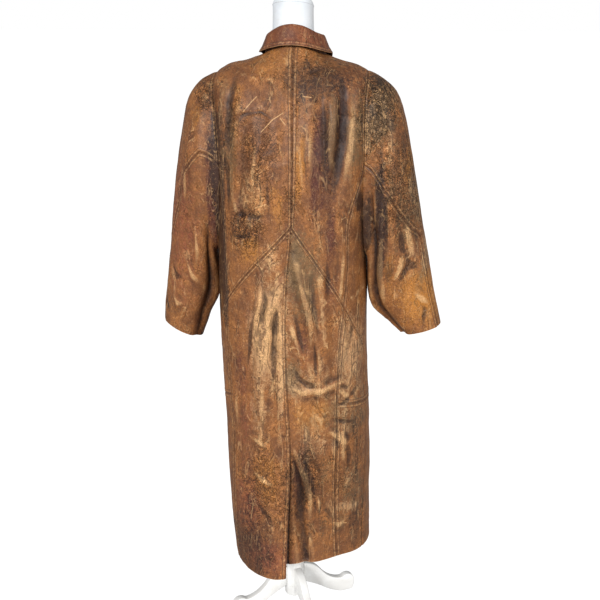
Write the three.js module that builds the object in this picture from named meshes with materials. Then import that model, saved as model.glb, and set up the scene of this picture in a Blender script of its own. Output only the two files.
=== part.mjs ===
// A worn, full-length leather coat on a limbless dress form with a four-legged stand.
// Units are millimetres and +Z is up. The coat's back faces +Y, its fronts face -Y,
// and the wearer's left is +X.
// Angles round the body are in degrees: 0 at the middle of the back, positive towards
// the wearer's left, 180 at the middle of the front.
// A "side" is 1 for the wearer's left and -1 for the wearer's right.

import * as THREE from "three";

// Cloth
const wall = 2;
const seamGap = 0.3;
const hemDroop = { depth: 27, middle: 24, width: 36, from: 500, full: 210 };
// The right front laps over the left one, and rises to do so between two angles.
const frontLap = 9;
const frontLift = { height: 3.2, from: 147, full: 162 };

// Body rings from the neck seam to the hem, each with its half width, its depth at the back
// and at the front, its heights at back, side and front, its squareness, how far it leans to
// the wearer's left, and how far the middle-back seam strays from the middle in degrees.
const bodyRings = [
  [70, 62, 80, 1490, 1466, 1432, 2.0, -6, -5],
  [112, 86, 100, 1441, 1453, 1388, 2.1, -2, -7],
  [158, 110, 122, 1376, 1440, 1330, 2.3, 0, -8],
  [184, 128, 138, 1300, 1410, 1262, 2.6, 0, -8],
  [188, 142, 150, 1222, 1305, 1192, 2.6, 0, -8],
  [183, 150, 158, 1140, 1180, 1125, 2.6, 0, -7.5],
  [180, 153, 160, 1050, 1062, 1044, 2.6, 0, -6.5],
  [180, 152, 160, 950, 952, 950, 2.5, 0, -3],
  [181, 152, 160, 830, 830, 830, 2.4, 0, -2],
  [181, 152, 160, 700, 700, 700, 2.3, -4, -1.5],
  [182, 153, 160, 570, 570, 570, 2.3, -11, -1.5],
  [183, 154, 160, 440, 440, 440, 2.3, -15, 0],
  [180, 155, 158, 320, 320, 320, 2.3, -20, 3],
  [177, 156, 156, 210, 210, 210, 2.3, -27, 6],
];
const hemRing = bodyRings.length - 1;

// Armholes as stops of angle and body ring, one for each 45 degrees of the armhole's own turn:
// 0 at the shoulder, 90 at the back, 180 under the arm, 270 at the front, and 360.
const armholeStops = {
  1: [
    [90, 2.7], [71, 3.25], [60, 4.58], [64, 5.9], [79, 6.45],
    [99, 5.9], [110, 4.58], [107, 3.25], [90, 2.7],
  ],
  "-1": [
    [90, 2.5], [70, 3.2], [68, 4.58], [71, 5.9], [79, 6.45],
    [99, 5.9], [110, 4.58], [107, 3.2], [90, 2.5],
  ],
};
const armholeCorner = 90;
// How far the cut of the armhole seam leans out at the shoulder, and of the neck seam up
const shoulderLean = 0.45;
const neckLean = 0.55;
const sleeveFrontSeam = 210;

// Seams of the body, on the body rings
const yokeRings = [0, 0.5, 1, 1.8];
const diagonal = { middle: 5.6, corner: 7.5, side: 8.55 };
const sideSeamAngle = 78;
// A level seam joins the lower part of the side and front pieces, at these rings.
const levelSeam = { princess: 9.4, side: 9.55 };
// Angles of the princess seams at even steps below the armhole's corner
const princessAngles = {
  1: [54, 53, 54, 55, 55, 55, 55, 54],
  "-1": [53, 53, 49.5, 45.5, 42.5, 42, 43.5, 45],
};

// Vent at the middle of the back
const vent = { top: 560, leftLift: 18, rightSink: 14, reach: 20, depth: 2.7 };

// Large folds of the back and of the fronts. Each has a half width and stops of x, z and height.
const backFolds = [
  {
    width: 14,
    stops: [
      [-122, 1425, 0], [-128, 1385, -9], [-131, 1340, -16], [-128, 1280, -17],
      [-118, 1205, -12], [-110, 1140, 0],
    ],
  },
  {
    width: 12,
    stops: [
      [-106, 1390, 0], [-110, 1330, 6], [-106, 1250, 6], [-104, 1180, 3],
      [-100, 1120, 0],
    ],
  },
  {
    width: 15,
    stops: [
      [-83, 1385, -2], [-90, 1290, -9], [-98, 1190, -9], [-103, 1100, -6],
      [-104, 1040, 0],
    ],
  },
  {
    width: 15,
    stops: [
      [118, 1430, -2], [130, 1360, -9], [134, 1290, -10], [128, 1210, -5],
      [120, 1150, 0],
    ],
  },
  { width: 16, stops: [[88, 1370, -2], [96, 1250, -6], [100, 1150, -5], [100, 1080, 0]] },
  {
    width: 13,
    stops: [
      [-20, 1030, 0], [-32, 1000, 8], [-60, 870, 11], [-91, 734, 7],
      [-100, 660, 0],
    ],
  },
  { width: 12, stops: [[-82, 1000, 0], [-85, 963, 7], [-97, 803, 8], [-100, 720, 0]] },
  { width: 12, stops: [[-8, 880, 0], [-22, 840, 7], [-82, 700, 8], [-105, 620, 0]] },
  { width: 12, stops: [[-6, 985, 0], [8, 940, 8], [50, 840, 11], [63, 713, 8], [66, 600, 0]] },
  { width: 11, stops: [[12, 930, 0], [36, 815, 7], [52, 662, 8], [60, 520, 0]] },
  { width: 14, stops: [[-22, 540, -2], [-34, 400, -10], [-52, 220, -14]] },
];
const frontFolds = [
  { width: 18, stops: [[-88, 1040, 0], [-100, 800, 7], [-108, 500, 10], [-114, 210, 14]] },
  { width: 18, stops: [[92, 980, 0], [100, 760, 6], [108, 480, 9], [116, 210, 12]] },
  { width: 15, stops: [[-128, 1400, 0], [-132, 1320, -10], [-122, 1220, -9], [-112, 1120, 0]] },
  { width: 15, stops: [[126, 1400, 0], [130, 1310, -9], [120, 1210, -9], [110, 1110, 0]] },
  { width: 14, stops: [[-68, 1000, 0], [-76, 880, -7], [-74, 720, -8], [-66, 560, 0]] },
];
// Swells of the hem: angle, half width in degrees and height
const hemSwells = [
  [28, 31, 25],
  [-46, 34, -38],
];
const hemSwellTop = 620;

// Sleeves, each with stations from the armhole to the cuff. A station has the outer and the inner
// edge as x and z, its half depth and the y of its middle.
const sleeveStations = {
  1: [
    [178, 1418, 182, 1000, 92, 6],
    [216, 1402, 186, 984, 96, 6],
    [246, 1370, 187, 966, 94, 4],
    [262, 1318, 187, 948, 90, 2],
    [280, 1225, 187, 926, 82, 0],
    [296, 1130, 188, 900, 74, -3],
    [308, 1030, 197, 868, 66, -6],
    [321, 935, 217, 830, 59, -10],
    [331, 865, 232, 792, 53, -14],
    [338, 806, 244, 760, 48, -18],
  ],
  "-1": [
    [178, 1418, 182, 1000, 92, 6],
    [212, 1402, 186, 984, 96, 6],
    [244, 1374, 187, 964, 94, 4],
    [264, 1325, 187, 944, 90, 2],
    [283, 1235, 187, 922, 82, 0],
    [300, 1145, 188, 900, 74, -3],
    [317, 1055, 196, 868, 66, -6],
    [335, 960, 213, 846, 59, -10],
    [350, 885, 242, 820, 53, -14],
    [364, 822, 268, 795, 48, -18],
  ],
};
const lastStation = sleeveStations[1].length - 1;
const sleeveBlend = { across: 0.1, along: 0.45 };
const sleeveFoldStart = 0.2;
const overarm = { angle: 20, start: 0.2 };
const backSleeveEnd = 0.66;
const backSleeveEndWidth = 8;
// Turns of the back sleeve's lower seam at even steps down to the back sleeve's end
const backSeamTurns = {
  1: [90, 82, 77, 75.5, 73, 69, 62.5, 56, 53, 49, 40, 28],
  "-1": [90, 90, 90, 89.5, 87.5, 85, 80, 74, 67, 59, 48, 28],
};
// Folds down the sleeves: half width in degrees and stops of angle, place along and height in mm
const sleeveFolds = {
  1: [
    { width: 15, stops: [[128, 0.08, -6], [140, 0.35, -16], [146, 0.65, -14], [150, 1, -5]] },
    { width: 15, stops: [[250, 0.12, 0], [262, 0.4, -8], [255, 0.75, -8], [250, 1, 0]] },
  ],
  "-1": [
    { width: 15, stops: [[120, 0.08, -8], [132, 0.35, -20], [144, 0.65, -17], [150, 1, -6]] },
    { width: 15, stops: [[255, 0.12, 0], [262, 0.4, -8], [252, 0.75, -8], [250, 1, 0]] },
  ],
};

// Collar rings, with the columns of a body ring up to the squareness
const standTop = [60, 56, 70, 1531, 1508, 1462, 2.0];
const fallRings = [
  [59, 55, 69, 1532.6, 1509.6, 1463.6, 2.0],
  [62.5, 58.5, 73, 1533.2, 1510.2, 1463.4, 2.0],
  [66.5, 62.5, 77.5, 1530.5, 1507.5, 1460, 2.0],
  [71, 67, 87, 1520, 1496, 1442, 2.0],
  [77, 72, 98, 1505, 1482, 1422, 2.0],
  [84, 78, 110, 1489, 1470, 1403, 2.0],
];
const fallEnd = { roll: 170, point: 162 };
const collarLean = bodyRings[0][7];

// Buttons down the front
const buttonHeights = [1340, 1140, 940, 740];
const button = { radius: 14, thick: 5, rim: 1.2, segments: 16, gap: 0.8 };

// Dress form: height, half width, depth at the back and at the front, squareness
const formSegments = 28;
const formRings = [
  [760, 146, 92, 92, 2.2],
  [800, 160, 110, 104, 2.2],
  [880, 160, 118, 108, 2.2],
  [960, 150, 104, 100, 2.2],
  [1050, 122, 84, 88, 2.2],
  [1130, 136, 92, 104, 2.2],
  [1210, 148, 96, 122, 2.3],
  [1290, 154, 94, 108, 2.3],
  [1350, 158, 86, 88, 2.2],
  [1395, 152, 72, 70, 2.1],
  [1425, 136, 60, 56, 2.0],
];
const formClearance = 0.4;
const formShoulder = { back: 48, front: 42, inside: 2 };
const formNeckRings = [
  [1457, 66, 49, 46, 2.0],
  [1474, 53, 50, 50, 2.0],
  [1510, 48.5, 48.5, 48.5, 2.0],
  [1550, 47, 47, 47, 2.0],
  [1574, 47, 47, 47, 2.0],
];
// The neck's top seam is tilted. The cap over it is a low dome, with a small flat on top.
const neck = { radius: 47, seam: 1574, tilt: 13, tiltFrom: 1480, capRise: 26, capArc: 86.4, gap: 0.3 };

// Stand
const post = { radius: 14, segments: 24 };
const hub = { radius: 26, bottom: 30, top: 140, segments: 8 };
const leg = { thick: 20, turn: 31, count: 4, low: 60, high: 116 };
// A leg's outline as reach from the hub and height: the curves over its back, each with the
// point that pulls it, the round toe, the flat of its foot, and the curves under it
const legBack = [[30, 112, 52, 84], [78, 48, 112, 44]];
const legToe = { reach: 132, height: 28, radius: 22, from: 130 };
const legFoot = [154, 8, 146, 0];
const legHeel = 116;
const legBelly = [[84, 10, 62, 26], [34, 46, 0, 60]];

// Small steps for measuring slopes, and how far a fold of the back or front reaches round
// the side, as a cosine
const ringStep = { angle: 0.5, ring: 0.02 };
const sleeveStep = { turn: 1, along: 0.005 };
const sideShare = 0.3;

const radians = THREE.MathUtils.degToRad;
const { clamp, lerp, smoothstep } = THREE.MathUtils;

const leather = new THREE.MeshStandardMaterial({ color: 0x8a4b27, roughness: 0.5, metalness: 0 });
const darkLeather = new THREE.MeshStandardMaterial({ color: 0x6e3a1f, roughness: 0.55, metalness: 0 });
const horn = new THREE.MeshStandardMaterial({ color: 0x4a2c1a, roughness: 0.4, metalness: 0 });
const paleCloth = new THREE.MeshStandardMaterial({ color: 0xe9edf0, roughness: 0.6, metalness: 0 });
const whitePaint = new THREE.MeshStandardMaterial({ color: 0xf1f1ef, roughness: 0.45, metalness: 0 });

const coat = new THREE.Group();
const standAndForm = new THREE.Group();

// Values between the rows of a table, on a smooth curve through them.
function along(rows, at) {
  const last = rows.length - 1;
  const k = clamp(Math.floor(at), 0, last - 1);
  const f = at - k;
  const before = rows[Math.max(k - 1, 0)];
  const from = rows[k];
  const to = rows[k + 1];
  const after = rows[Math.min(k + 2, last)];
  return from.map((value, n) => {
    const slope = to[n] - before[n];
    const bend = 2 * before[n] - 5 * value + 4 * to[n] - after[n];
    const twist = 3 * (value - to[n]) + after[n] - before[n];
    return value + 0.5 * f * (slope + f * (bend + f * twist));
  });
}

function steps(from, to, count) {
  return Array.from({ length: count + 1 }, (_, k) => lerp(from, to, k / count));
}

// A point of a ring that is level at back, side and front only.
function ringPoint(row, angle) {
  const [wide, back, front, zBack, zSide, zFront, square] = row;
  const s = Math.sin(radians(angle));
  const c = Math.cos(radians(angle));
  const deep = c > 0 ? back : front;
  const zEnd = c > 0 ? zBack : zFront;
  const reach = (Math.abs(s / wide) ** square + Math.abs(c / deep) ** square) ** (-1 / square);
  return new THREE.Vector3(reach * s, reach * c, zSide + (zEnd - zSide) * c * c);
}

// The unit normal of a surface given as a function of two numbers, by small steps.
function normalOf(surface, a, b, stepA, stepB) {
  const alongA = surface(a + stepA, b).sub(surface(a - stepA, b));
  const alongB = surface(a, b + stepB).sub(surface(a, b - stepB));
  return alongA.cross(alongB).normalize();
}

function bodyRing(angle, v) {
  const row = along(bodyRings, v);
  const point = ringPoint(row, angle);
  point.x += row[7];
  return point;
}

function bodyRingNormal(angle, v) {
  return normalOf(bodyRing, angle, v, ringStep.angle, ringStep.ring);
}

function bell(distance, width) {
  return Math.exp(-((distance / width) ** 2));
}

// Height of the nearest fold line over a point, as a bell across the line.
function foldHeight(a, b, fold) {
  let nearest = Infinity;
  let height = 0;
  for (let k = 0; k + 1 < fold.stops.length; k++) {
    const [fromA, fromB, fromHeight] = fold.stops[k];
    const [toA, toB, toHeight] = fold.stops[k + 1];
    const runA = toA - fromA;
    const runB = toB - fromB;
    const f = clamp(((a - fromA) * runA + (b - fromB) * runB) / (runA ** 2 + runB ** 2), 0, 1);
    const distance = Math.hypot(a - fromA - f * runA, b - fromB - f * runB);
    if (distance < nearest) {
      nearest = distance;
      height = lerp(fromHeight, toHeight, f);
    }
  }
  return height * bell(nearest, fold.width);
}

// How far the leather stands off its ring: large folds, hem swells and the vent's two edges.
function bodyRelief(angle, v, point, side) {
  const c = Math.cos(radians(angle));
  const total = (folds) => folds.reduce((sum, fold) => sum + foldHeight(point.x, point.z, fold), 0);
  let height = smoothstep(c, 0, sideShare) * total(backFolds);
  height += smoothstep(-c, 0, sideShare) * total(frontFolds);
  const hemShare = smoothstep(hemSwellTop - point.z, 0, hemSwellTop - bodyRings[hemRing][4]);
  for (const [middle, width, swell] of hemSwells) {
    height += hemShare * swell * bell(angle - middle, width);
  }
  const ventShare = smoothstep(vent.top - point.z, 0, vent.top - bodyRings[hemRing][4]);
  const strayed = angle - along(bodyRings, v)[8];
  const lift = side > 0 ? vent.leftLift : -vent.rightSink;
  return height + ventShare * lift * bell(strayed, vent.reach);
}

// The coat's body: the middle of the leather's thickness.
function bodySurface(angle, v, side, layer = 0) {
  const point = bodyRing(angle, v);
  const normal = bodyRingNormal(angle, v);
  const low = smoothstep(hemDroop.from - point.z, 0, hemDroop.from - hemDroop.full);
  const droop = hemDroop.depth * low * bell(angle - hemDroop.middle, hemDroop.width);
  point.addScaledVector(normal, bodyRelief(angle, v, point, side) + layer);
  if (side > 0) point.z -= droop;
  return point;
}

function bodyNormal(angle, v, side) {
  return normalOf((a, b) => bodySurface(a, b, side), angle, v, ringStep.angle, ringStep.ring);
}

function wrapped(turn) {
  return ((turn % 360) + 360) % 360;
}

// The angle and body ring of an armhole at one of its turns. The stops are a closed loop.
function armholeAt(side, turn) {
  const stops = armholeStops[side];
  const looped = [stops.at(-2), ...stops, stops[1]];
  const [angle, v] = along(looped, wrapped(turn) / 45 + 1);
  return [side * angle, v];
}

function armholePoint(side, turn) {
  const [angle, v] = armholeAt(side, turn);
  return bodySurface(angle, v, side);
}

// Both panels of the armhole seam are cut along this direction.
function armholeNormal(side, turn) {
  const high = (1 + Math.cos(radians(turn))) / 2;
  const outward = side * shoulderLean * high;
  return new THREE.Vector3(outward, Math.sin(radians(turn)), Math.cos(radians(turn))).normalize();
}

function neckNormal(angle) {
  const c = Math.cos(radians(angle));
  const s = Math.sin(radians(angle));
  return new THREE.Vector3(s, c, neckLean).normalize();
}

// A wall through a grid of points, each with its normal. Its borders are drawn in by half a
// seam gap, square to the border.
function wallFrom(grid, thickness = wall) {
  const lastRow = grid.length - 1;
  const lastColumn = grid[0].length - 1;
  const at = (row, column) => grid[clamp(row, 0, lastRow)][clamp(column, 0, lastColumn)].point;
  const drawnIn = (row, column, inRow, inColumn) => {
    const inward = at(row + inRow, column + inColumn).clone().sub(at(row, column));
    const rim = at(row + inColumn, column + inRow).clone();
    rim.sub(at(row - inColumn, column - inRow)).normalize();
    inward.addScaledVector(rim, -inward.dot(rim)).normalize();
    return inward.multiplyScalar(seamGap / 2);
  };
  const outer = [];
  const inner = [];
  grid.forEach((line, row) => {
    line.forEach(({ point, normal }, column) => {
      const middle = point.clone();
      if (row === 0) middle.add(drawnIn(row, column, 1, 0));
      if (row === lastRow) middle.add(drawnIn(row, column, -1, 0));
      if (column === 0) middle.add(drawnIn(row, column, 0, 1));
      if (column === lastColumn) middle.add(drawnIn(row, column, 0, -1));
      outer.push(middle.clone().addScaledVector(normal, thickness / 2));
      inner.push(middle.addScaledVector(normal, -thickness / 2));
    });
  });
  const columns = lastColumn + 1;
  const index = (row, column) => row * columns + column;
  const triangles = [];
  const innerStart = outer.length;
  const quad = (a, b, c, d) => triangles.push([a, b, c], [a, c, d]);
  // The rims of two panels at a seam are split along the same diagonal.
  const rimFrom = (a, b) => quad(b, a, innerStart + a, innerStart + b);
  const rimTo = (a, b) => quad(a, innerStart + a, innerStart + b, b);
  for (let row = 0; row < lastRow; row++) {
    for (let column = 0; column < lastColumn; column++) {
      const a = index(row, column);
      const b = index(row, column + 1);
      const c = index(row + 1, column + 1);
      const d = index(row + 1, column);
      quad(a, b, c, d);
      quad(innerStart + a, innerStart + d, innerStart + c, innerStart + b);
    }
  }
  for (let column = 0; column < lastColumn; column++) {
    rimFrom(index(0, column), index(0, column + 1));
    rimTo(index(lastRow, column + 1), index(lastRow, column));
  }
  for (let row = 0; row < lastRow; row++) {
    rimTo(index(row + 1, 0), index(row, 0));
    rimFrom(index(row, lastColumn), index(row + 1, lastColumn));
  }
  return solidFrom([...outer, ...inner], triangles);
}

// A closed mesh from points and triangles, turned to face out.
function solidFrom(points, triangles) {
  let volume = 0;
  for (const [a, b, c] of triangles) {
    volume += points[a].dot(points[b].clone().cross(points[c]));
  }
  const ordered = volume < 0 ? triangles.map(([a, b, c]) => [a, c, b]) : triangles;
  const geometry = new THREE.BufferGeometry();
  const places = points.flatMap((p) => p.toArray());
  geometry.setAttribute("position", new THREE.Float32BufferAttribute(places, 3));
  geometry.setIndex(ordered.flat());
  geometry.computeVertexNormals();
  return geometry;
}

// Pairs of numbers inside four borders, which are lists of pairs with matching corners.
function patchInside(top, bottom, left, right) {
  const rows = left.length - 1;
  const columns = top.length - 1;
  const blend = (a, b, n) => {
    const row = Math.round(a * rows);
    const column = Math.round(b * columns);
    const acrossRows = lerp(top[column][n], bottom[column][n], a);
    const acrossColumns = lerp(left[row][n], right[row][n], b);
    const topCorners = lerp(top[0][n], top[columns][n], b);
    const bottomCorners = lerp(bottom[0][n], bottom[columns][n], b);
    return acrossRows + acrossColumns - lerp(topCorners, bottomCorners, a);
  };
  const pairAt = (a, b) => [blend(a, b, 0), blend(a, b, 1)];
  return left.map((_, row) => top.map((_, column) => pairAt(row / rows, column / columns)));
}

function addPiece(group, name, geometry, material) {
  const mesh = new THREE.Mesh(geometry, material);
  mesh.name = name;
  group.add(mesh);
  return mesh;
}

// Seam lines of the body as lists of angle and ring.
function yokeLine(side) {
  return yokeRings.map((v) => [side * 90, v]);
}

function armholeLine(side, turns) {
  return turns.map((turn) => armholeAt(side, turn));
}

function princessLine(side, rings) {
  const [cornerAngle, start] = armholeAt(side, armholeCorner);
  const stops = [side * cornerAngle, ...princessAngles[side]].map((angle) => [angle]);
  return rings.map((v) => {
    const [angle] = along(stops, ((v - start) / (hemRing - start)) * (stops.length - 1));
    return [side * angle, v];
  });
}

function sideSeamLine(side, rings) {
  const [underarm, start] = armholeAt(side, 180);
  return rings.map((v) => {
    const low = smoothstep(v, start, diagonal.side);
    return [lerp(underarm, side * sideSeamAngle, low), v];
  });
}

// Rings of a skirt seam from its top, through the level seam, to the hem
function skirtRings(top, level) {
  const above = steps(top, level, rowsAboveLevel);
  return [...above, ...steps(level, hemRing, skirtRows - rowsAboveLevel).slice(1)];
}

function middleLine(rings) {
  return rings.map((v) => [along(bodyRings, v)[8], v]);
}

function straightLine(from, to, count) {
  return steps(0, 1, count).map((f) => [lerp(from[0], to[0], f), lerp(from[1], to[1], f)]);
}

const turnsBack = steps(0, armholeCorner, 6);
const turnsUnderBack = steps(armholeCorner, 180, 8);
const turnsUnderFront = steps(180, sleeveFrontSeam, 3);
const turnsFront = steps(sleeveFrontSeam, 360, 9);
const upperRows = 4;
const skirtRows = 11;
const rowsAboveLevel = 4;
const backColumns = 11;
const frontColumns = 9;

const pairsOf = {};

// A body panel between four borders. Border points on the neck seam or an armhole seam share
// that seam's own normal with the piece sewn to them.
function bodyPanel(name, side, borders, seamNormal, layer = () => 0) {
  const pairs = patchInside(borders.top, borders.bottom, borders.left, borders.right);
  pairsOf[name] = pairs;
  const grid = pairs.map((line, row) => line.map(([angle, v], column) => ({
    point: bodySurface(angle, v, side, layer(angle)),
    normal: seamNormal(row, column, angle) || bodyNormal(angle, v, side),
  })));
  addPiece(coat, name, wallFrom(grid), leather);
}

for (const side of [1, -1]) {
  const which = side > 0 ? "left" : "right";
  const cornerRing = armholeAt(side, armholeCorner)[1];
  const underarmRing = armholeAt(side, 180)[1];
  const princessUpper = princessLine(side, steps(cornerRing, diagonal.corner, upperRows));
  const outerUpper = [
    ...yokeLine(side),
    ...armholeLine(side, turnsBack),
    ...princessUpper.slice(1),
  ];
  const middleUpper = middleLine(outerUpper.map(([, v]) => (v * diagonal.middle) / diagonal.corner));
  const cornerEnd = outerUpper.at(-1);
  const middleEnd = middleUpper.at(-1);
  const diagonalBack = straightLine(middleEnd, cornerEnd, backColumns);
  const yokeRows = yokeLine(side).length;
  bodyPanel(`back_upper_${which}`, side, {
    top: straightLine(middleUpper[0], outerUpper[0], backColumns),
    bottom: diagonalBack,
    left: middleUpper,
    right: outerUpper,
  }, (row, column, angle) => {
    if (row === 0) return neckNormal(angle);
    const turn = turnsBack[row - yokeRows];
    return column === backColumns && turn !== undefined ? armholeNormal(side, turn) : null;
  });

  const middleSkirt = middleLine(steps(diagonal.middle, hemRing, skirtRows));
  const princessSkirt = princessLine(side, skirtRings(diagonal.corner, levelSeam.princess));
  bodyPanel(`back_skirt_${which}`, side, {
    top: diagonalBack,
    bottom: straightLine(middleSkirt.at(-1), princessSkirt.at(-1), backColumns),
    left: middleSkirt,
    right: princessSkirt,
  }, () => null);

  const sideSeamUpper = sideSeamLine(side, steps(underarmRing, diagonal.side, upperRows));
  const diagonalSide = straightLine(cornerEnd, sideSeamUpper.at(-1), turnsUnderBack.length - 1);
  bodyPanel(`side_upper_${which}`, side, {
    top: armholeLine(side, turnsUnderBack),
    bottom: diagonalSide,
    left: princessUpper,
    right: sideSeamUpper,
  }, (row, column) => (row === 0 ? armholeNormal(side, turnsUnderBack[column]) : null));

  const sideSeamSkirt = sideSeamLine(side, skirtRings(diagonal.side, levelSeam.side));
  const sideColumns = turnsUnderBack.length - 1;
  const levelSide = straightLine(princessSkirt[rowsAboveLevel], sideSeamSkirt[rowsAboveLevel], sideColumns);
  bodyPanel(`side_skirt_${which}`, side, {
    top: diagonalSide,
    bottom: levelSide,
    left: princessSkirt.slice(0, rowsAboveLevel + 1),
    right: sideSeamSkirt.slice(0, rowsAboveLevel + 1),
  }, () => null);
  bodyPanel(`side_hem_${which}`, side, {
    top: levelSide,
    bottom: straightLine(princessSkirt.at(-1), sideSeamSkirt.at(-1), sideColumns),
    left: princessSkirt.slice(rowsAboveLevel),
    right: sideSeamSkirt.slice(rowsAboveLevel),
  }, () => null);

  const frontArmhole = [...turnsUnderFront, ...turnsFront.slice(1)].reverse();
  const outerFront = [
    ...yokeLine(side),
    ...armholeLine(side, frontArmhole),
    ...sideSeamUpper.slice(1),
    ...sideSeamSkirt.slice(1, rowsAboveLevel + 1),
  ];
  const outerHem = sideSeamSkirt.slice(rowsAboveLevel);
  const edgeAngle = side * (180 + frontLap);
  const edgeOf = (outer) => outer.map(([, v]) => [edgeAngle, v]);
  const edgeFront = edgeOf(outerFront);
  const levelFront = straightLine(outerFront.at(-1), edgeFront.at(-1), frontColumns);
  const lift = (angle) => frontLift.height * smoothstep(Math.abs(angle), frontLift.from, frontLift.full);
  bodyPanel(`front_${which}`, side, {
    top: straightLine(outerFront[0], edgeFront[0], frontColumns),
    bottom: levelFront,
    left: outerFront,
    right: edgeFront,
  }, (row, column, angle) => {
    if (row === 0) return neckNormal(angle);
    const turn = frontArmhole[row - yokeRows];
    return column === 0 && turn !== undefined ? armholeNormal(side, turn) : null;
  }, side < 0 ? lift : undefined);
  bodyPanel(`front_hem_${which}`, side, {
    top: levelFront,
    bottom: straightLine(outerHem.at(-1), edgeOf(outerHem).at(-1), frontColumns),
    left: outerHem,
    right: edgeOf(outerHem),
  }, () => null, side < 0 ? lift : undefined);
}

// The vent's underlay is the right skirt's extension, and lies behind both skirts.
const ventRow = middleLine(steps(diagonal.middle, hemRing, skirtRows))
  .findIndex(([angle, v]) => bodyRing(angle, v).z < vent.top);
const underlay = [];
for (let row = ventRow - 1; row <= skirtRows; row++) {
  const leftPairs = pairsOf.back_skirt_left[row];
  const rightPairs = pairsOf.back_skirt_right[row];
  const pairs = [leftPairs[3], leftPairs[2], leftPairs[1], rightPairs[0], rightPairs[1]];
  underlay.push(pairs.map(([angle, v]) => ({
    point: bodySurface(angle, v, -1, -vent.depth),
    normal: bodyNormal(angle, v, -1),
  })));
}
addPiece(coat, "vent_underlay", wallFrom(underlay), darkLeather);

// Sleeves
function sleevePlain(side, turn, t) {
  const row = along(sleeveStations[side], t * lastStation);
  const first = sleeveStations[side][0];
  const cos = Math.cos(radians(turn));
  const sin = Math.sin(radians(turn));
  const high = (1 + cos) / 2;
  const place = ([outX, outZ, inX, inZ, half, middle]) =>
    new THREE.Vector3(side * lerp(inX, outX, high), middle + half * sin, lerp(inZ, outZ, high));
  const point = place(row);
  const start = armholePoint(side, turn).sub(place(first));
  point.x += start.x * (1 - smoothstep(t, 0, sleeveBlend.across));
  point.y += start.y * (1 - smoothstep(t, 0, sleeveBlend.along));
  point.z += start.z * (1 - smoothstep(t, 0, sleeveBlend.along));
  return point;
}

function sleevePlainNormal(side, turn, t) {
  const plain = (a, b) => sleevePlain(side, a, b);
  const normal = normalOf(plain, turn, t, sleeveStep.turn, sleeveStep.along);
  return side > 0 ? normal.negate() : normal;
}

function sleeveSurface(side, turn, t) {
  const point = sleevePlain(side, turn, t);
  const ease = smoothstep(t, 0, sleeveFoldStart);
  let height = 0;
  for (const fold of sleeveFolds[side]) {
    const stops = fold.stops.map(([angle, place, rise]) => [angle, place * 360, rise]);
    height += ease * foldHeight(wrapped(turn), t * 360, { width: fold.width, stops });
  }
  return point.addScaledVector(sleevePlainNormal(side, turn, t), height);
}

function sleeveNormal(side, turn, t) {
  const folded = (a, b) => sleeveSurface(side, a, b);
  const normal = normalOf(folded, turn, t, sleeveStep.turn, sleeveStep.along);
  return side > 0 ? normal.negate() : normal;
}

const sleeveRowsUpper = [0, 0.04, 0.09, 0.15, 0.22, 0.3, 0.38, 0.47, 0.56, backSleeveEnd];
// The first row below the back sleeve starts just under its end seam.
const sleeveRowsLower = [0.67, 0.74, 0.82, 0.91, 1];
const sleeveRows = [...sleeveRowsUpper, ...sleeveRowsLower];

function overarmTurn(t) {
  return overarm.angle * smoothstep(t, 0, overarm.start);
}

function backSeamTurn(side, t) {
  const stops = backSeamTurns[side].map((turn) => [turn]);
  return along(stops, (t / backSleeveEnd) * (stops.length - 1))[0];
}

function sleevePanel(name, side, borders) {
  const pairs = patchInside(borders.top, borders.bottom, borders.left, borders.right);
  const grid = pairs.map((line) => line.map(([turn, t]) => ({
    point: sleeveSurface(side, turn, t),
    normal: t === 0 ? armholeNormal(side, turn) : sleeveNormal(side, turn, t),
  })));
  addPiece(coat, name, wallFrom(grid), leather);
}

for (const side of [1, -1]) {
  const which = side > 0 ? "left" : "right";
  const overarmLine = sleeveRows.map((t) => [overarmTurn(t), t]);
  const backSeam = sleeveRowsUpper.map((t) => [backSeamTurn(side, t), t]);
  const upperCount = sleeveRowsUpper.length;
  const endLine = straightLine([overarm.angle, backSleeveEnd], backSeam.at(-1), turnsBack.length - 1);
  sleevePanel(`sleeve_back_${which}`, side, {
    top: turnsBack.map((turn) => [turn, 0]),
    bottom: endLine,
    left: overarmLine.slice(0, upperCount),
    right: backSeam,
  });

  // Below the back sleeve's narrow end, the under sleeve widens to meet the overarm seam.
  const underTurns = [...turnsUnderBack, ...turnsUnderFront.slice(1)];
  const underEdge = [...backSeam, ...sleeveRowsLower.map((t) => [overarm.angle + backSleeveEndWidth, t])];
  const frontSeam = sleeveRows.map((t) => [sleeveFrontSeam, t]);
  sleevePanel(`sleeve_under_${which}`, side, {
    top: underTurns.map((turn) => [turn, 0]),
    bottom: straightLine(underEdge.at(-1), frontSeam.at(-1), underTurns.length - 1),
    left: underEdge,
    right: frontSeam,
  });

  const belowBack = (t) => (t > backSleeveEnd ? backSleeveEndWidth : 0);
  const overarmFront = sleeveRows.map((t) => [360 + overarmTurn(t) + belowBack(t), t]);
  sleevePanel(`sleeve_front_${which}`, side, {
    top: turnsFront.map((turn) => [turn, 0]),
    bottom: straightLine(frontSeam.at(-1), overarmFront.at(-1), turnsFront.length - 1),
    left: frontSeam,
    right: overarmFront,
  });
}

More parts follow.
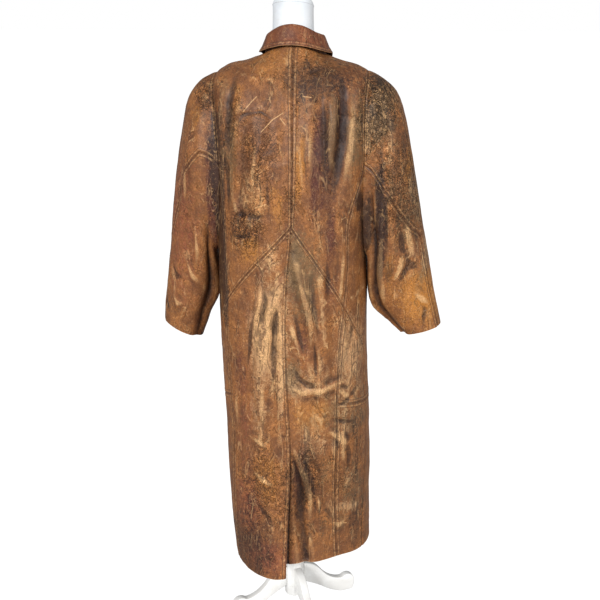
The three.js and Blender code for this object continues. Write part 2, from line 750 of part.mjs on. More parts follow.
// Collar: a stand from the neck seam up to the roll, and a fall from the roll down outside it.
// The stand follows the neck seam's own points, and ends a little short of the front edges.
const neckPairs = (which) => [
  ...pairsOf[`back_upper_${which}`][0],
  ...pairsOf[`front_${which}`][0].slice(1, -2),
];
const neckLine = [...neckPairs("right").slice(1).reverse(), ...neckPairs("left")];
const standAngles = neckLine.map(([angle]) => angle);
const standRows = steps(0, 1, 3);
const standGrid = standRows.map((f) => standAngles.map((angle) => {
  const low = bodySurface(angle, 0, Math.sign(angle));
  const high = ringPoint(standTop, angle);
  high.x += collarLean;
  const point = low.clone().lerp(high, f);
  const round = ringPoint(standTop, angle + 1).sub(ringPoint(standTop, angle - 1));
  const plain = high.clone().sub(low).cross(round).normalize();
  return { point, normal: f === 0 ? neckNormal(angle) : plain };
}));
addPiece(coat, "collar_stand", wallFrom(standGrid), darkLeather);

function fallSurface(across, f) {
  const place = f * (fallRings.length - 1);
  const end = lerp(fallEnd.roll, fallEnd.point, smoothstep(f, 0, 1));
  const point = ringPoint(along(fallRings, place), across * end);
  point.x += collarLean;
  return point;
}

const fallRows = [0, 0.2, 0.4, 0.6, 0.8, 1];
const fallGrid = fallRows.map((f) => steps(-1, 1, 30).map((across) => ({
  point: fallSurface(across, f),
  normal: normalOf(fallSurface, across, f, 0.005, 0.01),
})));
addPiece(coat, "collar_fall", wallFrom(fallGrid), leather);

// Buttons: plain turned discs on the right front's outer face.
function buttonGeometry() {
  const { radius, thick, rim } = button;
  const profile = [
    [0, 0],
    [radius - rim, 0],
    [radius, rim],
    [radius, thick - rim],
    [radius - rim, thick],
    [0, thick],
  ];
  return new THREE.LatheGeometry(profile.map(([x, y]) => new THREE.Vector2(x, y)), button.segments);
}

function ringAtHeight(height, angle) {
  let low = 0;
  let high = hemRing;
  for (let k = 0; k < 40; k++) {
    const middle = (low + high) / 2;
    if (bodyRing(angle, middle).z > height) low = middle;
    else high = middle;
  }
  return low;
}

buttonHeights.forEach((height, k) => {
  const angle = -180;
  const v = ringAtHeight(height, angle);
  const layer = frontLift.height;
  const normal = bodyNormal(angle, v, -1);
  const seat = bodySurface(angle, v, -1, layer + wall / 2 + button.gap);
  const piece = addPiece(coat, `button_${k + 1}`, buttonGeometry(), horn);
  piece.position.copy(seat);
  piece.quaternion.setFromUnitVectors(new THREE.Vector3(0, 1, 0), normal);
});

// Dress form: a smooth closed body, its shoulders just under the coat's shoulder seams.
const shoulderPoint = bodySurface(90, 1, 1);
const shoulderRing = [
  shoulderPoint.z - wall / 2 - formClearance,
  shoulderPoint.x - formShoulder.inside,
  formShoulder.back,
  formShoulder.front,
  2.0,
];

function formPoint(row, angle, tilt = 0) {
  const [z, wide, back, front, square] = row;
  const point = ringPoint([wide, back, front, z, z, z, square], angle);
  point.z += point.y * Math.tan(radians(tilt));
  return point;
}

// A closed body through level or tilted rings, with a flat fan at each end.
function bodyFrom(rings, segments) {
  const points = rings.flat();
  const count = rings.length;
  const triangles = [];
  for (let ring = 0; ring + 1 < count; ring++) {
    for (let k = 0; k < segments; k++) {
      const a = ring * segments + k;
      const b = ring * segments + ((k + 1) % segments);
      triangles.push([a, b, b + segments], [a, b + segments, a + segments]);
    }
  }
  const middleOf = (ring) => ring.reduce((sum, p) => sum.add(p), new THREE.Vector3()).divideScalar(segments);
  const bottom = points.push(middleOf(rings[0])) - 1;
  const top = points.push(middleOf(rings[count - 1])) - 1;
  const last = (count - 1) * segments;
  for (let k = 0; k < segments; k++) {
    const next = (k + 1) % segments;
    triangles.push([bottom, next, k], [top, last + k, last + next]);
  }
  return solidFrom(points, triangles);
}

const formAngles = steps(0, 360, formSegments).slice(0, -1);
const formRows = [...formRings, shoulderRing, ...formNeckRings];
const neckTilts = formRows.map(([z]) => neck.tilt * smoothstep(z, neck.tiltFrom, neck.seam));
const formBody = formRows.map((row, k) => formAngles.map((angle) => formPoint(row, angle, neckTilts[k])));
addPiece(standAndForm, "dress_form", bodyFrom(formBody, formSegments), paleCloth);

const capRows = steps(0, 1, 5).map((f) => {
  const arc = radians(f * neck.capArc);
  const seat = neck.seam + neck.gap / Math.cos(radians(neck.tilt));
  return [seat + neck.capRise * Math.sin(arc), neck.radius * Math.cos(arc)];
});
const capRings = capRows.map(([z, radius]) =>
  formAngles.map((angle) => formPoint([z, radius, radius, radius, 2.0], angle, neck.tilt)));
addPiece(standAndForm, "neck_cap", bodyFrom(capRings, formSegments), paleCloth);

// Stand: a round post in an eight-sided hub that four curved boards carry.
const formBottom = formRings[0][0];
const postBottom = hub.top + seamGap;
const postLength = formBottom - seamGap - postBottom;
const postShape = new THREE.CylinderGeometry(post.radius, post.radius, postLength, post.segments);
const postPiece = addPiece(standAndForm, "stand_post", postShape, whitePaint);
postPiece.rotation.x = Math.PI / 2;
postPiece.position.z = postBottom + postLength / 2;

const hubHeight = hub.top - hub.bottom;
const hubShape = new THREE.CylinderGeometry(hub.radius, hub.radius, hubHeight, hub.segments);
const hubPiece = addPiece(standAndForm, "stand_hub", hubShape, whitePaint);
hubPiece.rotation.set(Math.PI / 2, radians(leg.turn - 180 / hub.segments), 0, "XYZ");
hubPiece.position.z = hub.bottom + hubHeight / 2;

// One board leg, drawn as its outline along and up, then given its thickness.
function legGeometry() {
  const outline = new THREE.Shape();
  const start = hub.radius * Math.cos(Math.PI / hub.segments) + seamGap;
  const curve = ([pullReach, pullHeight, reach, height]) =>
    outline.quadraticCurveTo(start + pullReach, pullHeight, start + reach, height);
  outline.moveTo(start, leg.low);
  outline.lineTo(start, leg.high);
  legBack.forEach(curve);
  outline.absarc(start + legToe.reach, legToe.height, legToe.radius, radians(legToe.from), 0, true);
  curve(legFoot);
  outline.lineTo(start + legHeel, 0);
  legBelly.forEach(curve);
  return new THREE.ExtrudeGeometry(outline, { depth: leg.thick, bevelEnabled: false, curveSegments: 7 });
}

for (let k = 0; k < leg.count; k++) {
  const turned = new THREE.Group();
  turned.rotation.z = radians(leg.turn + (360 / leg.count) * k);
  const piece = addPiece(turned, `stand_leg_${k + 1}`, legGeometry(), whitePaint);
  piece.rotation.x = Math.PI / 2;
  piece.position.y = leg.thick / 2;
  standAndForm.add(turned);
}

// The whole part stands on z = 0 with the middle of its outline at x = y = 0.
const part = new THREE.Group();
part.add(coat, standAndForm);
const extent = new THREE.Box3().setFromObject(part, true);
coat.position.set(-(extent.min.x + extent.max.x) / 2, -(extent.min.y + extent.max.y) / 2, 0);
standAndForm.position.copy(coat.position);

export default part;
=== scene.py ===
# %% [markdown]
# # A worn leather coat, seen from behind
#
# This script dresses the imported model: it puts sewn leather, a jersey form and a painted
# stand in the places that the frame holds, lights them softly and sets up the camera.
# Lengths are in millimetres until a mesh is made, and in metres after that.

# %% Load the frame
import math
import bmesh
import bpy
import numpy as np
from mathutils import Matrix, Vector


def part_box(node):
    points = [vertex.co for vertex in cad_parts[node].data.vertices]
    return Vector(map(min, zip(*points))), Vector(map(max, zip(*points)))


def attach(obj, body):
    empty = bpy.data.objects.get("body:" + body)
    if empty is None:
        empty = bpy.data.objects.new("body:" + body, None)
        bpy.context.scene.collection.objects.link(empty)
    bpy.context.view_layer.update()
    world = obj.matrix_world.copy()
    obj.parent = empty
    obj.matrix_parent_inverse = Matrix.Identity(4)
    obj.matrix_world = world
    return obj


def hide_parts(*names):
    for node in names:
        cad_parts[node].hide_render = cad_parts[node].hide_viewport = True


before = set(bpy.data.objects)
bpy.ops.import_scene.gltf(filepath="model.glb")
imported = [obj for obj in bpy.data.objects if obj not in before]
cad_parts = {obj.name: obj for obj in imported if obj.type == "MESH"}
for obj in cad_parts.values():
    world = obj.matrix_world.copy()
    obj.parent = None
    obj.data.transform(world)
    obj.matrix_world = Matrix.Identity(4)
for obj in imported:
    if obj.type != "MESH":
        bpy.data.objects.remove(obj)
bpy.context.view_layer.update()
post_low, post_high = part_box("stand_post")
axis_x = (post_low.x + post_high.x) / 2
axis_y = (post_low.y + post_high.y) / 2
print("axis of the stand", round(axis_x, 4), round(axis_y, 4))


# %% [markdown]
# ## The coat's body
#
# A coat is cut from flat pieces, and its shape is easiest to say as rings round the body.
# Each ring gives how wide, deep and high the coat is there, and a smooth curve joins them.

# %% Rings of the body
wall = 1.8
seam_gap = 0.3
# Half width, depth behind and in front, height behind, at the side and in front, squareness,
# shift in x, and the angle of the middle seam.
body_rings = np.array([
    [70, 62, 80, 1490, 1466, 1432, 2.0, -6, -5],
    [112, 86, 100, 1441, 1453, 1388, 2.1, -2, -7],
    [158, 110, 122, 1376, 1440, 1330, 2.3, 0, -8],
    [184, 128, 138, 1300, 1410, 1262, 2.6, 0, -8],
    [188, 142, 150, 1222, 1305, 1192, 2.6, 0, -8],
    [183, 150, 158, 1140, 1180, 1125, 2.6, 0, -7.5],
    [180, 153, 160, 1050, 1062, 1044, 2.6, 0, -6.5],
    [180, 152, 160, 950, 952, 950, 2.5, 0, -3],
    [181, 152, 160, 830, 830, 830, 2.4, 0, -2],
    [181, 152, 160, 700, 700, 700, 2.3, -4, -1.5],
    [182, 153, 160, 570, 570, 570, 2.3, -11, -1.5],
    [183, 154, 160, 440, 440, 440, 2.3, -15, 0],
    [180, 155, 158, 320, 320, 320, 2.3, -20, 3],
    [177, 156, 156, 210, 210, 210, 2.3, -27, 6],
], float)
hem_ring = len(body_rings) - 1
hem_droop = {"depth": 27, "middle": 24, "width": 36, "top": 500, "full": 210}


def smoothstep(x, low, high):
    f = np.clip((x - low) / (high - low), 0, 1)
    return f * f * (3 - 2 * f)


def bell(distance, width):
    return np.exp(-((distance / width) ** 2))


def unit(vectors):
    return vectors / np.maximum(np.linalg.norm(vectors, axis=-1, keepdims=True), 1e-9)


def along(rows, at):
    """Values between the rows of a table, on a smooth curve through them."""
    rows = np.asarray(rows, float)
    at = np.asarray(at, float)
    last = len(rows) - 1
    k = np.clip(np.floor(at).astype(int), 0, last - 1)
    f = (at - k)[..., None]
    before = rows[np.maximum(k - 1, 0)]
    here = rows[k]
    there = rows[k + 1]
    after = rows[np.minimum(k + 2, last)]
    bend = 2 * before - 5 * here + 4 * there - after
    twist = 3 * (here - there) + after - before
    return here + 0.5 * f * (there - before + f * (bend + f * twist))


def ring_point(rows, angle):
    """A point of a ring that is level at back, side and front only."""
    wide, back, front, z_back, z_side, z_front, square = (rows[..., n] for n in range(7))
    s = np.sin(np.radians(angle))
    c = np.cos(np.radians(angle))
    deep = np.where(c > 0, back, front)
    z_end = np.where(c > 0, z_back, z_front)
    reach = (np.abs(s / wide) ** square + np.abs(c / deep) ** square) ** (-1 / square)
    return np.stack([reach * s, reach * c, z_side + (z_end - z_side) * c * c], -1)


def normal_of(surface, a, b, step_a, step_b):
    along_a = surface(a + step_a, b) - surface(a - step_a, b)
    along_b = surface(a, b + step_b) - surface(a, b - step_b)
    return unit(np.cross(along_a, along_b))


def body_ring(angle, v):
    rows = along(body_rings, v)
    point = ring_point(rows, angle)
    point[..., 0] += rows[..., 7]
    return point


print("rings of the body", len(body_rings))


# %% [markdown]
# ## Large folds
#
# Old leather keeps the folds it was worn into. Each fold is a soft ridge or trough along a
# few stops of x, z and height, with one half width, like a bead laid along a bent wire.

# %% Folds and swells
back_folds = [
    (14, [(-122, 1425, 0), (-128, 1385, -9), (-131, 1340, -16), (-128, 1280, -17),
          (-118, 1205, -12), (-110, 1140, 0)]),
    (12, [(-106, 1390, 0), (-110, 1330, 6), (-106, 1250, 6), (-104, 1180, 3), (-100, 1120, 0)]),
    (15, [(-83, 1385, -2), (-90, 1290, -9), (-98, 1190, -9), (-103, 1100, -6), (-104, 1040, 0)]),
    (15, [(118, 1430, -2), (130, 1360, -9), (134, 1290, -10), (128, 1210, -5), (120, 1150, 0)]),
    (16, [(88, 1370, -2), (96, 1250, -6), (100, 1150, -5), (100, 1080, 0)]),
    (13, [(-20, 1030, 0), (-32, 1000, 8), (-60, 870, 11), (-91, 734, 7), (-100, 660, 0)]),
    (12, [(-82, 1000, 0), (-85, 963, 7), (-97, 803, 8), (-100, 720, 0)]),
    (12, [(-8, 880, 0), (-22, 840, 7), (-82, 700, 8), (-105, 620, 0)]),
    (12, [(-6, 985, 0), (8, 940, 8), (50, 840, 11), (63, 713, 8), (66, 600, 0)]),
    (11, [(12, 930, 0), (36, 815, 7), (52, 662, 8), (60, 520, 0)]),
    (14, [(-22, 540, -2), (-34, 400, -10), (-52, 220, -14)]),
]
front_folds = [
    (18, [(-88, 1040, 0), (-100, 800, 7), (-108, 500, 10), (-114, 210, 14)]),
    (18, [(92, 980, 0), (100, 760, 6), (108, 480, 9), (116, 210, 12)]),
    (15, [(-128, 1400, 0), (-132, 1320, -10), (-122, 1220, -9), (-112, 1120, 0)]),
    (15, [(126, 1400, 0), (130, 1310, -9), (120, 1210, -9), (110, 1110, 0)]),
    (14, [(-68, 1000, 0), (-76, 880, -7), (-74, 720, -8), (-66, 560, 0)]),
]
# Creases too small for the frame: on the back, on the fronts, and on each sleeve.
back_creases = [
    (6, [(-14, 700, 0), (-44, 680, 4), (-84, 686, 5), (-120, 700, 4), (-156, 706, 0)]),
    (7, [(-20, 760, 0), (-36, 720, -4), (-60, 700, -4), (-80, 706, 0)]),
    (6, [(-126, 900, 0), (-134, 860, 4), (-140, 800, 4), (-136, 740, 0)]),
    (6, [(-150, 880, 0), (-158, 830, -4), (-152, 780, 0)]),
    (4, [(131, 1325, 0), (95, 1338, -2), (55, 1345, -2), (8, 1318, 0)]),
    (5, [(128, 1114, 0), (98, 1112, -2.5), (60, 1110, -2), (28, 1116, 0)]),
    (5, [(131, 1062, 0), (100, 1060, -2.5), (66, 1064, 0)]),
    (6, [(118, 1150, 0), (112, 1118, 2), (100, 1085, 0)]),
    (6, [(92, 1135, 0), (84, 1100, 2.5), (70, 1076, 0)]),
    (6, [(-31, 1425, 0), (-60, 1432, -2.5), (-100, 1442, 0)]),
    (8, [(-58, 1330, 0), (-60, 1250, 3), (-64, 1170, 0)]),
    (7, [(-38, 1300, 0), (-42, 1210, 2.5), (-48, 1120, 0)]),
    (9, [(150, 1260, 0), (140, 1215, -4), (135, 1160, -4), (134, 1090, 0)]),
    (7, [(62, 1290, 0), (70, 1210, 2.5), (72, 1130, 0)]),
    (6, [(38, 1230, 0), (36, 1160, -2), (30, 1090, 0)]),
    (8, [(-98, 1030, 0), (-104, 960, -5), (-106, 900, 0)]),
    (7, [(-134, 1060, 0), (-134, 1000, 4), (-130, 930, 4), (-124, 880, 0)]),
    (7, [(52, 965, 0), (56, 905, 4), (66, 850, 4), (74, 790, 0)]),
    (6, [(28, 930, 0), (34, 880, 4), (38, 820, 5), (46, 740, 0)]),
    (6, [(16, 900, 0), (20, 840, -4), (24, 760, -3), (26, 700, 0)]),
    (6, [(80, 860, 0), (84, 800, -4), (92, 730, 0)]),
    (8, [(2, 900, 0), (4, 800, 4), (4, 700, 4), (2, 640, 0)]),
    (6, [(-22, 900, 0), (-40, 820, -5), (-58, 740, 0)]),
    (6, [(-40, 960, 0), (-60, 890, 4), (-76, 820, 0)]),
    (5, [(-70, 850, 0), (-76, 780, -4), (-80, 700, 0)]),
    (6, [(-112, 700, 0), (-140, 672, 4), (-172, 640, 0)]),
    (6, [(-120, 640, 0), (-148, 650, -4), (-178, 690, 0)]),
    (7, [(-96, 590, 0), (-130, 560, 5), (-165, 520, 0)]),
    (6, [(-110, 615, 0), (-136, 600, -4), (-170, 590, 0)]),
    (7, [(-132, 600, 0), (-140, 540, 4), (-138, 480, 0)]),
    (6, [(-150, 560, 0), (-156, 500, -4), (-150, 440, 0)]),
    (7, [(-66, 650, 0), (-88, 610, 4), (-98, 560, 0)]),
    (9, [(100, 560, 0), (62, 545, 3), (30, 520, 0)]),
    (8, [(84, 470, 0), (50, 445, 4), (16, 430, 0)]),
    (8, [(76, 400, 0), (48, 360, -3), (20, 330, 0)]),
    (9, [(-16, 560, 0), (-30, 520, 6), (-52, 455, 8), (-64, 390, 6), (-66, 320, 0)]),
    (7, [(-74, 430, 0), (-84, 380, 4), (-82, 320, 0)]),
    (8, [(-100, 330, 0), (-130, 300, 3), (-160, 330, 0)]),
    (8, [(118, 720, 0), (122, 620, 4), (122, 520, 0)]),
]
front_creases = [
    (8, [(-90, 1180, 0), (-60, 1150, 3), (-30, 1160, 0)]),
    (8, [(96, 1160, 0), (66, 1130, 3), (32, 1145, 0)]),
    (9, [(-110, 900, 0), (-84, 860, 4), (-58, 800, 0)]),
    (9, [(112, 880, 0), (84, 850, 4), (60, 780, 0)]),
    (8, [(-100, 640, 0), (-80, 600, -3), (-52, 590, 0)]),
    (8, [(104, 620, 0), (82, 570, -3), (50, 566, 0)]),
    (9, [(-70, 440, 0), (-60, 350, 4), (-58, 260, 0)]),
    (9, [(72, 460, 0), (64, 360, 4), (60, 260, 0)]),
]
# Wide swells of the hem: the angle of the middle, the half width and the height.
hem_swells = [(28, 31, 25), (-46, 34, -38)]
hem_swell_top = 620
turn_blend = 0.3
vent = {"top": 560, "left_lift": 18, "right_sink": 14, "reach": 20, "depth": 2.7}


def fold_height(a, b, fold):
    width, stops = fold
    nearest = np.full(np.shape(a), np.inf)
    height = np.zeros(np.shape(a))
    for (from_a, from_b, from_height), (to_a, to_b, to_height) in zip(stops, stops[1:]):
        run_a = to_a - from_a
        run_b = to_b - from_b
        f = ((a - from_a) * run_a + (b - from_b) * run_b) / (run_a ** 2 + run_b ** 2)
        f = np.clip(f, 0, 1)
        distance = np.hypot(a - from_a - f * run_a, b - from_b - f * run_b)
        closer = distance < nearest
        nearest = np.where(closer, distance, nearest)
        height = np.where(closer, from_height + (to_height - from_height) * f, height)
    return height * bell(nearest, width)


def fold_sum(a, b, folds):
    return sum(fold_height(a, b, fold) for fold in folds)


def both_faces(angle, point, back_list, front_list):
    """The folds of one list where the coat faces back, and of the other where it faces front."""
    c = np.cos(np.radians(angle))
    x = point[..., 0]
    z = point[..., 2]
    return (smoothstep(c, 0, turn_blend) * fold_sum(x, z, back_list)
            + smoothstep(-c, 0, turn_blend) * fold_sum(x, z, front_list))


def body_relief(angle, v, point, side):
    z = point[..., 2]
    height = both_faces(angle, point, back_folds, front_folds)
    hem_height = body_rings[hem_ring][4]
    hem_share = smoothstep(hem_swell_top - z, 0, hem_swell_top - hem_height)
    for middle, width, swell in hem_swells:
        height = height + hem_share * swell * bell(angle - middle, width)
    vent_share = smoothstep(vent["top"] - z, 0, vent["top"] - hem_height)
    strayed = angle - along(body_rings, v)[..., 8]
    lift = vent["left_lift"] if side > 0 else -vent["right_sink"]
    return height + vent_share * lift * bell(strayed, vent["reach"])


def body_surface(angle, v, side, layer=0):
    point = body_ring(angle, v)
    normal = normal_of(body_ring, angle, v, step_a=0.5, step_b=0.02)
    z = point[..., 2]
    low = smoothstep(hem_droop["top"] - z, 0, hem_droop["top"] - hem_droop["full"])
    droop = hem_droop["depth"] * low * bell(angle - hem_droop["middle"], hem_droop["width"])
    relief = body_relief(angle, v, point, side) + layer
    point = point + normal * relief[..., None]
    if side > 0:
        point[..., 2] -= droop
    return point


print("folds", len(back_folds), "behind and", len(front_folds), "in front")
print("creases", len(back_creases), "behind and", len(front_creases), "in front")


# %% [markdown]
# ## Seams
#
# A pattern cutter draws the seams first: the armhole, the princess seam from it to the hem,
# the side seam, the slanted seam across the back, and the middle of the back. On the model
# each seam is a line of angle and ring, and each cut piece lies between four of them.

# %% Seam lines
armhole_stops = {
    1: [(90, 2.7), (71, 3.25), (60, 4.58), (64, 5.9), (79, 6.45),
        (99, 5.9), (110, 4.58), (107, 3.25), (90, 2.7)],
    -1: [(90, 2.5), (70, 3.2), (68, 4.58), (71, 5.9), (79, 6.45),
         (99, 5.9), (110, 4.58), (107, 3.2), (90, 2.5)],
}
shoulder_angle = 90.0
armhole_corner = 90
underarm = 180.0
sleeve_front_seam = 210
diagonal = {"middle": 5.6, "corner": 7.5, "side": 8.55}
side_seam_angle = 78
level_seam = {"princess": 9.4, "side": 9.55}
princess_angles = {
    1: [54, 53, 54, 55, 55, 55, 55, 54],
    -1: [53, 53, 49.5, 45.5, 42.5, 42, 43.5, 45],
}


def armhole_at(side, turn):
    stops = armhole_stops[side]
    looped = [stops[-2], *stops, stops[1]]
    pairs = along(looped, np.mod(turn, 360) / 45 + 1)
    return pairs * [side, 1]


def armhole_point(side, turn):
    pairs = armhole_at(side, turn)
    return body_surface(pairs[..., 0], pairs[..., 1], side)


def yoke_line(side):
    return lambda v: np.stack([np.full_like(v, side * shoulder_angle), v], -1)


def armhole_line(side):
    return lambda turn: armhole_at(side, turn)


def princess_line(side):
    corner_angle, start = armhole_at(side, armhole_corner)
    stops = [[side * corner_angle], *([angle] for angle in princess_angles[side])]

    def line(v):
        place = (v - start) / (hem_ring - start) * (len(stops) - 1)
        return np.stack([side * along(stops, place)[..., 0], v], -1)
    return line


def side_seam_line(side):
    top_angle, start = armhole_at(side, underarm)

    def line(v):
        low = smoothstep(v, start, diagonal["side"])
        return np.stack([top_angle + (side * side_seam_angle - top_angle) * low, v], -1)
    return line


def middle_line(v):
    return np.stack([along(body_rings, v)[..., 8], v], -1)


def straight(start, end):
    start = np.asarray(start, float)
    end = np.asarray(end, float)
    return lambda f: start + (end - start) * np.asarray(f)[..., None]


def border(*runs):
    """A border made of runs, each a line and its keys. A run with a third entry, True,
    starts where the run before it ends."""
    def at(p):
        pairs = np.zeros((len(p), 2))
        start = 0
        previous = None
        for line, keys, *joined in runs:
            keys = np.asarray(keys, float)
            if previous is not None and not joined:
                in_gap = (p > start) & (p < start + 1)
                gap = straight(previous, line(keys[:1])[0])
                pairs[in_gap] = gap(p[in_gap] - start)
                start += 1
            last = start + len(keys) - 1
            inside = (p >= start - 1e-9) & (p <= last + 1e-9)
            pairs[inside] = line(np.interp(p[inside], np.arange(start, last + 1), keys))
            previous = line(keys[-1:])[0]
            start = last
        return pairs
    return at


def at_key(line, key):
    """The one place on a line at a key."""
    return line(np.array([float(key)]))[0]


def between(start, end, steps):
    """A straight border from one place to another, walked in so many steps."""
    return lambda p: straight(start, end)(p / steps)


turns_back = np.linspace(0, armhole_corner, 7)
turns_under_back = np.linspace(armhole_corner, underarm, 9)
turns_under_front = np.linspace(underarm, sleeve_front_seam, 4)
turns_front = np.linspace(sleeve_front_seam, 360, 10)
yoke_rows = [0, 0.5, 1, 1.8]
upper_rows = 4
skirt_rows = 11
rows_above_level = 4
back_columns = 11
front_columns = 9
print("left and right armhole at the underarm", armhole_at(1, underarm), armhole_at(-1, underarm))


# %% [markdown]
# ## Wear, dirt, colour, painted shade and painted highlight
#
# The coat's colour is not a print: dye has faded to gold where it was rubbed, gone purple
# where it stayed dark, and turned olive where dirt sits. A restorer would map such places,
# and so does this list. Each place has a middle, half a width and half a height, a tilt and
# a strength, and the leather's own noise breaks up its edge.
# Not every place is dye, wear or dirt: some dark places are painted shade in hollows and some pale places
# are painted highlight on crests, as the lists below say.

# %% Places of colour, wear, painted shade and painted highlight, in x and z of the coat
# x, z, half width, half height and strength of each, and its tilt in degrees if it has one.
back_patches = {
    "gold": [
        (-60, 1410, 100, 80, 0.6), (30, 1450, 80, 40, 0.5), (-70, 620, 60, 60, 0.7),
        (-38, 1230, 14, 95, 0.75, 2), (-88, 1240, 8, 90, 0.6, 4), (66, 1130, 34, 60, 0.5),
        (78, 1030, 32, 46, 0.7), (14, 1140, 20, 60, 0.5), (22, 800, 26, 110, 0.55),
        (-130, 460, 40, 100, 0.4), (48, 450, 44, 90, 0.55), (-320, 905, 60, 85, 1.0),
        (-285, 1260, 14, 120, 0.85, 8), (-240, 960, 22, 90, 0.5), (215, 1330, 22, 50, 0.5),
        (290, 840, 40, 40, 0.4), (112, 1370, 22, 50, 0.4), (-105, 1120, 12, 70, 0.4),
        (-118, 620, 40, 50, 0.4), (-58, 1010, 18, 60, 0.4, 8),
    ],
    "red": [
        (270, 1060, 74, 240, 0.6), (100, 640, 34, 260, 0.45), (50, 240, 80, 60, 0.9),
        (-40, 860, 20, 120, 0.4, 4), (60, 880, 60, 80, 0.35), (96, 350, 50, 120, 0.7),
        (-50, 760, 30, 90, 0.4), (170, 1230, 20, 90, 0.6), (-100, 930, 34, 40, 0.4),
    ],
    "plum": [
        (-104, 1290, 52, 190, 0.5, 2), (-76, 1240, 17, 150, 0.95, 3), (-128, 1330, 12, 110, 1.0, 2),
        (-130, 1400, 60, 60, 0.6), (-108, 1080, 16, 120, 0.7, 2), (172, 1290, 16, 100, 0.7),
        (-48, 840, 20, 90, 0.6, 6), (112, 760, 18, 130, 0.5), (-40, 470, 22, 130, 0.7, 6),
        (-112, 950, 26, 60, 0.45), (-218, 1080, 14, 150, 0.9), (86, 400, 16, 110, 0.5),
        (182, 1130, 14, 200, 0.9), (-60, 1400, 70, 60, 0.5), (-90, 1180, 40, 120, 0.6),
        (-56, 1390, 24, 30, 0.35),
    ],
    "olive": [
        (-52, 950, 42, 120, 0.75, 10), (-60, 700, 60, 44, 0.5), (-290, 1130, 46, 150, 0.6, 8),
        (-320, 990, 16, 90, 0.7, 8), (128, 1250, 24, 120, 0.6), (-245, 1180, 60, 140, 0.5),
        (-165, 600, 34, 60, 0.6), (-160, 400, 36, 80, 0.6), (138, 1385, 28, 36, 0.4),
        (-158, 1300, 26, 110, 0.8), (-205, 1340, 48, 110, 0.9, 10), (-30, 1000, 24, 90, 0.95, 6),
        (-64, 910, 26, 70, 0.6), (-24, 720, 26, 60, 0.8), (-130, 620, 40, 80, 0.6),
        (-72, 600, 30, 50, 0.5), (-130, 330, 60, 70, 0.4), (-96, 480, 24, 60, 0.5),
    ],
    # Dark tint: dark dye and dirt, and also painted shade where the coat is hollow: the places near x -170
    # to -220, z 1040 to 1160 fill the right armpit, those near x 150 to 172 the gap between the left
    # sleeve and the body, and those near x -108 to -128, z 1250 to 1340 the deep trough of the upper back.
    "dark": [
        (-70, 1415, 110, 60, 0.8), (-108, 1300, 28, 130, 0.85), (165, 1230, 20, 130, 1.3),
        (-90, 1440, 70, 60, 0.55), (-112, 1250, 24, 130, 0.5), (-12, 450, 22, 90, 0.5),
        (150, 1240, 10, 120, 0.8), (100, 280, 60, 70, 0.7), (-205, 1410, 36, 30, 0.7),
        (-70, 1380, 60, 90, 0.45), (50, 1455, 90, 22, 0.4), (-205, 1400, 40, 30, 0.6),
        (-90, 330, 30, 60, 0.4), (-200, 1352, 40, 84, 0.5, 8), (-48, 420, 18, 110, 0.8, 8),
        (-178, 1080, 12, 90, 1.0), (-190, 1110, 10, 60, 1.0), (90, 1100, 40, 34, 0.5),
        (158, 1100, 16, 230, 1.5), (172, 930, 14, 90, 1.3), (-216, 1085, 14, 180, 1.2),
        (-183, 1062, 13, 44, 1.8), (-168, 1140, 8, 26, 1.5), (150, 930, 12, 110, 1.2),
        (100, 300, 50, 120, 0.6), (-80, 1440, 60, 30, 0.35), (-170, 560, 20, 200, 0.5),
        (-170, 300, 24, 120, 0.6), (84, 252, 90, 110, 0.8), (-218, 1040, 9, 150, 0.7),
        (-128, 1340, 7, 90, 0.7, 2), (-70, 330, 40, 60, 0.4), (106, 300, 40, 110, 0.55),
        (195, 1390, 30, 40, 0.4), (-140, 1440, 24, 20, 0.4),
    ],
    # Pale tint: rubbed wear, and also painted highlight: the places near x 7 to 34, z 640 to 1020 beside
    # the back's middle seam, and the thin tilted ones near x -68 and -96 that lie on fold ridges.
    "pale": [
        (34, 830, 50, 140, 1.1, 4), (30, 1010, 30, 60, 0.5), (-150, 770, 36, 110, 0.75),
        (-300, 1150, 30, 60, 0.5), (-150, 700, 40, 130, 0.5), (-60, 700, 60, 60, 0.5),
        (-30, 690, 30, 40, 0.5), (-70, 560, 50, 90, 0.45), (70, 1150, 40, 90, 0.45),
        (60, 640, 30, 120, 0.45), (-182, 1300, 12, 60, 0.7), (-232, 1260, 16, 44, 0.5),
        (-205, 1330, 40, 90, 0.35), (-150, 350, 34, 16, 0.7, 20), (-132, 560, 26, 60, 0.5, 10),
        (-150, 440, 16, 40, 0.5), (7, 770, 10, 190, 0.75), (-70, 690, 70, 8, 0.8),
        (-150, 800, 14, 90, 0.5), (60, 800, 12, 60, 0.5), (-320, 1010, 14, 60, 0.5),
        (26, 830, 24, 190, 0.5, 2), (80, 1100, 22, 20, 0.4), (-330, 860, 30, 14, 0.4),
        (-300, 1010, 20, 40, 0.4), (-68, 850, 10, 90, 0.4, -14), (-96, 760, 9, 70, 0.4, -16),
        (196, 1380, 16, 26, 0.4),
    ],
    "crack": [
        (20, 1270, 170, 150, 0.25), (0, 420, 180, 150, 0.45), (270, 1200, 60, 200, 0.4),
        (-270, 1180, 60, 160, 0.7), (88, 1080, 46, 60, 1.0), (-205, 1350, 50, 100, 0.9),
        (60, 1250, 60, 120, 0.6), (-20, 1150, 30, 80, 0.5), (56, 430, 50, 120, 0.6),
        (-60, 460, 40, 110, 0.8), (110, 1330, 40, 60, 0.5), (195, 1370, 30, 50, 0.8),
        (-140, 430, 40, 90, 0.5),
    ],
    "gloss": [
        (-310, 920, 60, 120, 1.0), (-140, 600, 50, 60, 0.7), (6, 780, 30, 160, 0.6),
        (-165, 1290, 30, 90, 0.6), (90, 1060, 40, 60, 0.4), (-150, 340, 40, 40, 0.6),
        (50, 820, 40, 80, 0.5),
    ],
}
